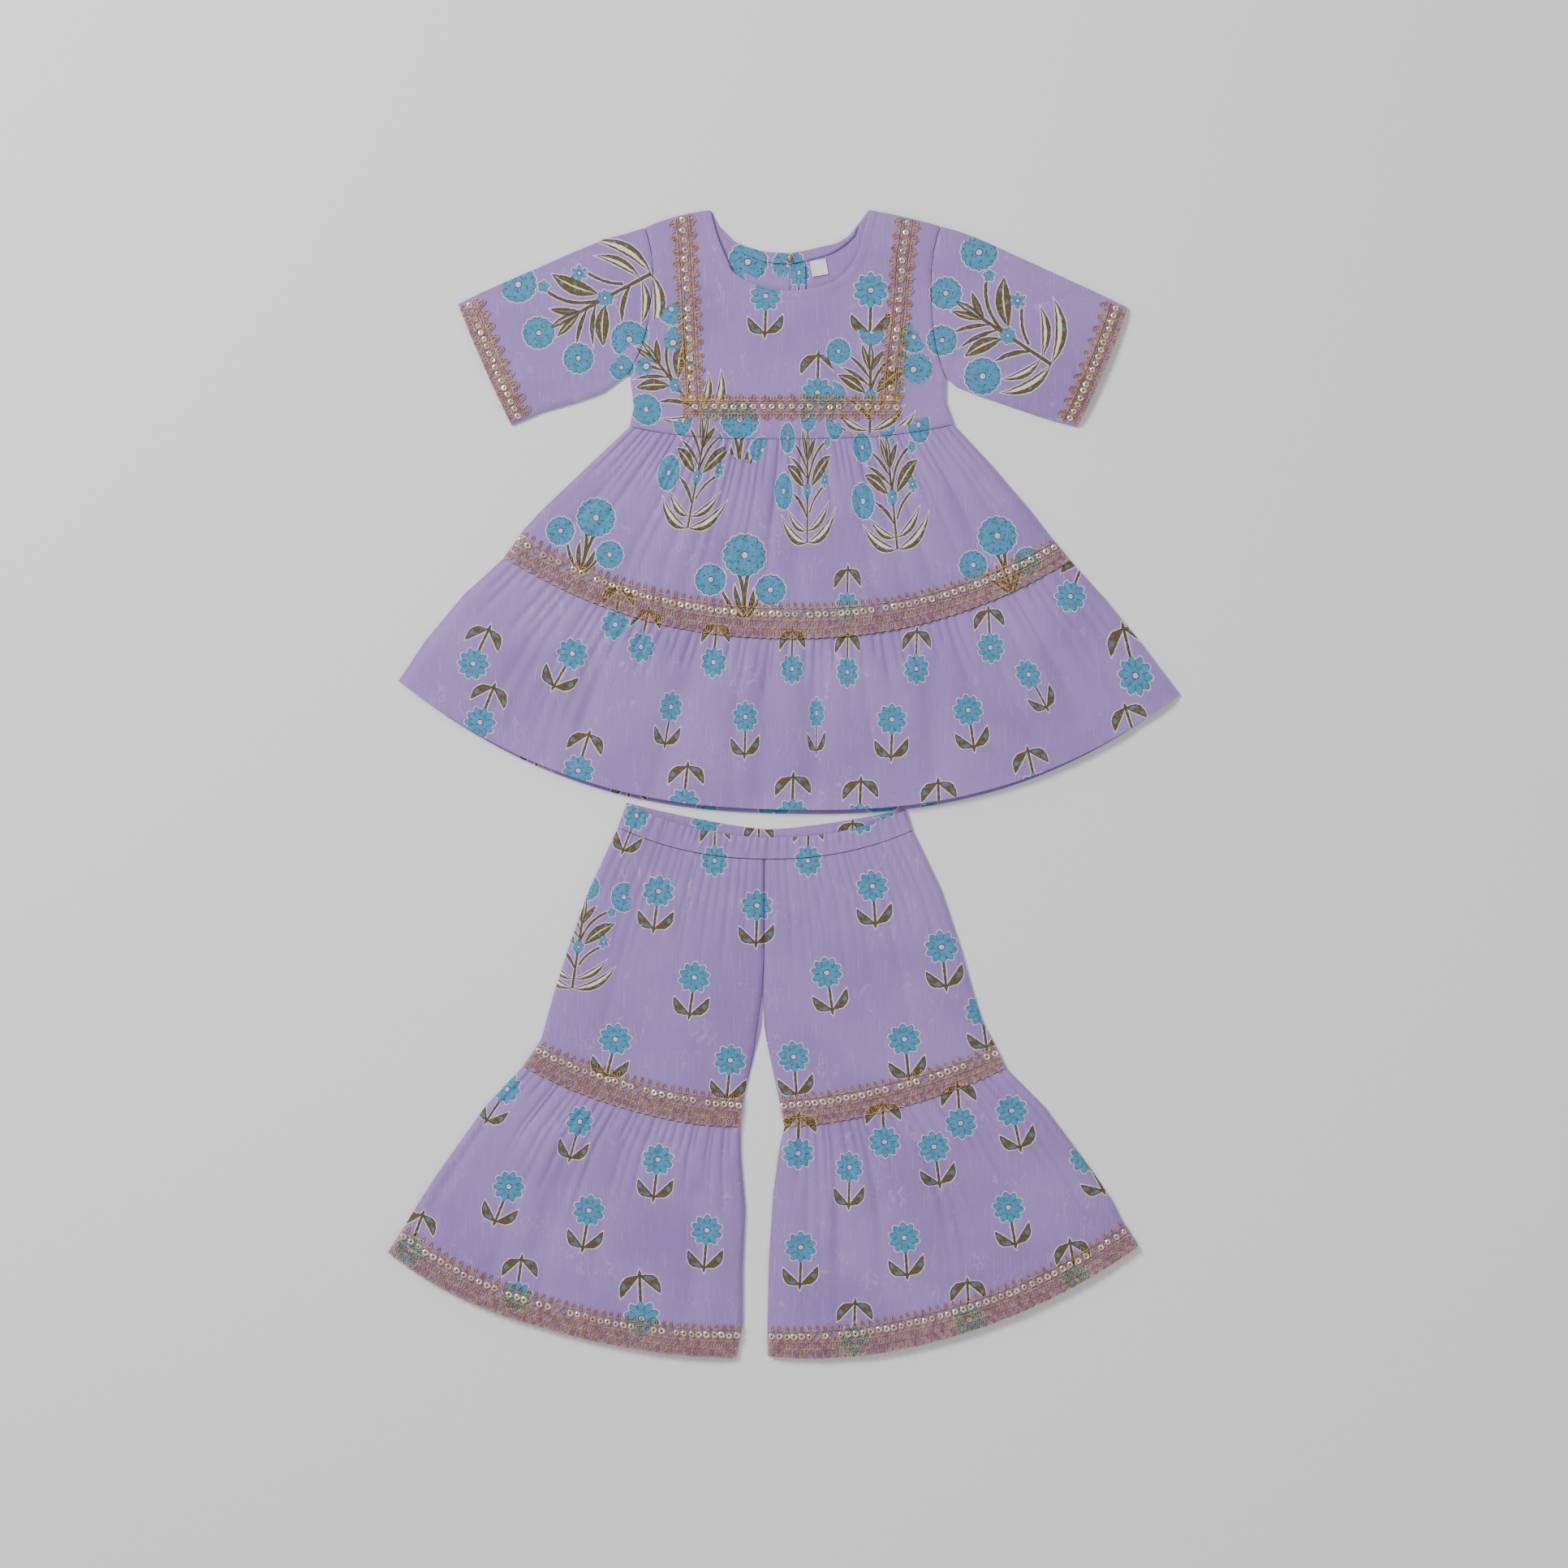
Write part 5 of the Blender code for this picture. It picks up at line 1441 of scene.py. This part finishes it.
def yoke_bottom(name, node, seed):
    def place(along, across, height):
        x = mix(YOKE_BOTTOM_LEFT, YOKE_BOTTOM_RIGHT, along)
        y = YOKE_BOTTOM_Y + (0.5 - across) * YOKE_LACE_WIDTH
        return np.stack([x, y, bodice_height(x, y) + LACE_LIFT + height + 0.2], -1)

    return make_lace(name, YOKE_LACE, YOKE_LACE_WIDTH, YOKE_BOTTOM_RIGHT - YOKE_BOTTOM_LEFT, place, node, seed=seed)


def stitches(name, route, pitch=2.6, share=0.62, radius=0.17, material=STITCH_MATERIAL):
    """A line of stitches along a route of points, each one a short thread that dips into the cloth."""
    route = np.array(route, float)
    length = np.concatenate([[0.0], np.cumsum(np.linalg.norm(np.diff(route, axis=0), axis=1))])
    threads = Threads()
    for start in np.arange(0.5, length[-1] - pitch, pitch):
        places = start + np.linspace(0, pitch * share, 4)
        path = np.stack([np.interp(places, length, route[:, k]) for k in range(3)], -1)
        path[:, 2] += np.array([-0.12, 0.12, 0.12, -0.12])
        threads.tube(path, radius)
    return threads.make(name, [material])


def stitched_rows(name, panel, at):
    """Stitches along one row of a panel."""
    u = np.linspace(0.01, 0.99, 400)
    x, y, z = panel.place(np.full(400, at), u)
    return stitches(name, np.stack([x, y, z + 0.1], -1))


def stitched_facing(name, rows):
    low = finer([(row.low_x, row.low_y) for row in rows], 8, len(rows) > 3)
    return stitches(name, [(x, y + 1.0, FACING_LIFT + FACING_THICKNESS + 0.15) for x, y in low], 2.2, 0.6, 0.13)


def ready_to_add():
    if bpy.context.object and bpy.context.object.mode != "OBJECT":
        bpy.ops.object.mode_set(mode="OBJECT")
    bpy.ops.object.select_all(action="DESELECT")


def finish_added(name, material):
    """Puts the piece just added at the origin, smooth, with its material."""
    piece = bpy.context.object
    bpy.ops.object.transform_apply(location=True, rotation=True, scale=True)
    bpy.ops.object.shade_smooth()
    piece.name = name
    piece.data.materials.clear()
    piece.data.materials.append(material)
    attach(piece, "root")
    return piece


def button():
    """A long gold bead with a rim round the hole at each end."""
    centre = (SLIT_X * MM, BUTTON_Y * MM, BUTTON_Z * MM)
    ready_to_add()
    bpy.ops.mesh.primitive_uv_sphere_add(segments=32, ring_count=16, radius=BUTTON_WIDTH / 2 * MM, location=centre)
    bpy.ops.object.mode_set(mode="EDIT")
    bpy.ops.mesh.select_all(action="SELECT")
    bpy.ops.transform.resize(value=(1.0, BUTTON_LENGTH / BUTTON_WIDTH, 1.0), center_override=centre)
    bpy.ops.object.mode_set(mode="OBJECT")
    bead = finish_added("button_bead", BEAD_MATERIAL)
    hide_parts("button")
    for side in (-1, 0, 1):
        ready_to_add()
        reach = (0.62, 1.36, 0.62)[side + 1]
        bpy.ops.mesh.primitive_torus_add(
            major_segments=28,
            minor_segments=8,
            major_radius=reach * MM,
            minor_radius=0.22 * MM,
            location=(centre[0], centre[1] + side * 2.2 * MM, centre[2]),
            rotation=(math.pi / 2, 0.0, 0.0),
        )
        finish_added(f"button_rim_{side + 2}", BEAD_MATERIAL)


def button_loop():
    rest = FACING_LIFT + FACING_THICKNESS + 0.55
    around = []
    for turn in np.radians(np.linspace(125, -125, 25)):
        around.append((SLIT_X + LOOP_HALF_WIDTH * math.cos(turn), BUTTON_Y + LOOP_HALF_LENGTH * math.sin(turn), rest))
    route = [(LOOP_ROOT_X, BUTTON_Y + 1.4, rest - 0.3), *around, (LOOP_ROOT_X, BUTTON_Y - 1.4, rest - 0.3)]
    threads = Threads()
    route = np.array(route)
    strand = np.arange(len(route)) * 1.3
    for shift in (0.0, math.pi):
        twist = np.stack([np.cos(strand + shift), np.sin(strand + shift), 0.6 * np.sin(strand + shift)], -1) * 0.16
        threads.tube(route + twist, 0.24)
    return threads.make("button_loop_thread", [STITCH_MATERIAL], "button_loop")


def size_label():
    """A square of white satin, tucked under the facing, with its number left off."""
    across = np.linspace(-0.5, 0.5, 21)[None, :].repeat(19, 0)
    up = np.linspace(0.5, -0.5, 19)[:, None].repeat(21, 1)
    turn = math.radians(LABEL_TURN)
    x, y = across * LABEL_WIDTH, up * LABEL_HEIGHT
    curl = 0.35 * np.maximum(-up - 0.1, 0.0) ** 2 * 4 + 0.06 * np.sin(across * 9.0)
    edge = 0.12 * (np.maximum(abs(across), abs(up)) > 0.44)
    placed_x = LABEL_X + x * math.cos(turn) - y * math.sin(turn)
    placed_y = LABEL_Y + x * math.sin(turn) + y * math.cos(turn)
    bottom = 1.55 + curl
    upper = np.stack([placed_x, placed_y, bottom + 0.35 + edge], -1)
    lower = np.stack([placed_x, placed_y, bottom], -1)
    label = cloth_sheet("size_label_satin", upper, lower, None)
    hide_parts("size_label")
    return label


# Stage, lights and camera


def area_light(name, place, size, power, colour):
    data = bpy.data.lights.new(name, "AREA")
    data.shape = "DISK"
    data.size = size
    data.energy = power
    data.color = colour
    light = bpy.data.objects.new(name, data)
    light.location = place
    aim = math.atan2(math.hypot(place[0], place[1]), place[2])
    light.rotation_euler = (aim, 0.0, math.atan2(place[0], -place[1]))
    bpy.context.scene.collection.objects.link(light)


ready_to_add()
bpy.ops.mesh.primitive_plane_add(size=9.0, location=(0.0, 0.0, -0.0003))
floor = bpy.context.object
bpy.ops.object.transform_apply(location=True, rotation=True, scale=True)
floor.name = "floor"
paper, paper_shader, _, _ = new_material("white_paper", 0.9)
paper_shader.inputs["Base Color"].default_value = (0.93, 0.93, 0.93, 1.0)
floor.data.materials.append(paper)
floor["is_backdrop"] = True

world = bpy.context.scene.world or bpy.data.worlds.new("studio")
bpy.context.scene.world = world
world.use_nodes = True
world.node_tree.nodes["Background"].inputs["Color"].default_value = (1.0, 1.0, 1.0, 1.0)
world.node_tree.nodes["Background"].inputs["Strength"].default_value = 0.5
area_light("key", (-1.5, 1.2, 1.9), 0.9, 62.0, (1.0, 0.99, 0.97))
area_light("fill", (1.6, -1.0, 2.2), 1.6, 10.0, (0.97, 0.98, 1.0))

camera_data = bpy.data.cameras.new("camera")
camera_data.lens = CAMERA_LENS
camera_data.sensor_width = CAMERA_SENSOR
camera = bpy.data.objects.new("camera", camera_data)
camera.location = (0.0, 0.0, CAMERA_HEIGHT)
bpy.context.scene.collection.objects.link(camera)
bpy.context.scene.camera = camera

# Kurta
skirt_under, skirt_back = back_panel("skirt_back_cloth", "skirt_back", SKIRT, SKIRT_CLOTH, 3.0)
skirt_back_lace = lace_under_panel("skirt_back_lace", skirt_back, 3.0, 21)
tier_under, tier_back = back_panel("tier_back_cloth", "tier_back", TIER_BACK, TIER_CLOTH)
tier_over, tier_panel = front_panel("tier_front_cloth", "tier_front", TIER, TIER_CLOTH)
tier_hem = stitched_rows("tier_hem_stitches", tier_panel, 2.76)
skirt_over, skirt_panel = front_panel("skirt_front_cloth", "skirt_front", SKIRT, SKIRT_CLOTH)
skirt_lace = lace_on_panel("skirt_front_lace", "skirt_lace", skirt_panel, 3.0, 22)
bodice_under = bodice_back()
bodice_over, neck_line = bodice_front()
neck_stitches = stitches("neck_stitches", neck_line)
yoke_laces = [
    yoke_side("yoke_left_gold", "yoke_lace_left", YOKE_LINE_LEFT, -1.0, 31),
    yoke_bottom("yoke_bottom_gold", "yoke_lace_bottom", 32),
    yoke_side("yoke_right_gold", "yoke_lace_right", YOKE_LINE_RIGHT, 1.0, 33),
]
facing_left = strip_between("facing_left_cloth", FACING_LEFT, FACING_LIFT, FACING_THICKNESS, "neck_facing_left")
facing_right = strip_between("facing_right_cloth", FACING_RIGHT, FACING_LIFT, FACING_THICKNESS, "neck_facing_right")
placket = strip_between("placket_cloth", PLACKET, FACING_LIFT - 0.1, FACING_THICKNESS, "back_placket")
facing_left_stitches = stitched_facing("facing_left_stitches", FACING_LEFT)
facing_right_stitches = stitched_facing("facing_right_stitches", FACING_RIGHT)
label = size_label()
button()
button_loop()
for side, stations, seed in (("left", SLEEVE_LEFT, 41), ("right", SLEEVE_RIGHT, 43)):
    tube = sleeve(f"sleeve_{side}_cloth", f"sleeve_{side}", stations)
    over = cuff_lace(f"cuff_{side}_gold", f"sleeve_lace_{side}", stations, seed)
    under = cuff_lace(f"cuff_{side}_back_gold", None, stations, seed + 1, True)

# Sharara
band_under, _ = back_panel("waistband_back_cloth", "waistband_back", WAISTBAND_BACK, BAND_CLOTH)
band_over, band_panel = front_panel("waistband_front_cloth", "waistband_front", WAISTBAND, BAND_CLOTH)
trousers = []
for side, leg_table, flare_table, crotch, seed in (
    ("left", LEG_LEFT, FLARE_LEFT, BACK_CROTCH_LEFT, 51),
    ("right", LEG_RIGHT, FLARE_RIGHT, BACK_CROTCH_RIGHT, 61),
):
    back_table = list(leg_table)
    for row, (x, y) in crotch.items():
        if side == "left":
            back_table[row] = back_table[row]._replace(right_x=x, right_y=y)
        else:
            back_table[row] = back_table[row]._replace(left_x=x, left_y=y)
    leg_cloth = LEG_CLOTH._replace(seed=LEG_CLOTH.seed + seed)
    flare_cloth = FLARE_CLOTH._replace(seed=FLARE_CLOTH.seed + seed)
    leg_under, leg_back = back_panel(f"leg_{side}_back_cloth", f"leg_{side}_back", tuple(back_table), leg_cloth, 5.0)
    leg_over, leg_panel = front_panel(f"leg_{side}_front_cloth", f"leg_{side}_front", leg_table, leg_cloth)
    flare_under, flare_back = back_panel(f"flare_{side}_back_cloth", f"flare_{side}_back", flare_table, flare_cloth, 4.0)
    flare_over, flare_panel = front_panel(f"flare_{side}_front_cloth", f"flare_{side}_front", flare_table, flare_cloth)
    knee = lace_on_panel(f"knee_{side}_gold", f"knee_lace_{side}", leg_panel, 5.0, seed + 1)
    knee_under = lace_under_panel(f"knee_{side}_back_gold", leg_back, 5.0, seed + 2)
    hem = lace_on_panel(f"hem_{side}_gold", f"hem_lace_{side}", flare_panel, 4.0, seed + 3)
    hem_under = lace_under_panel(f"hem_{side}_back_gold", flare_back, 4.0, seed + 4)


def corners(box):
    return [[float(value) for value in corner] for corner in box]


{"cad": corners(cad_box), "visual": corners(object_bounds())}
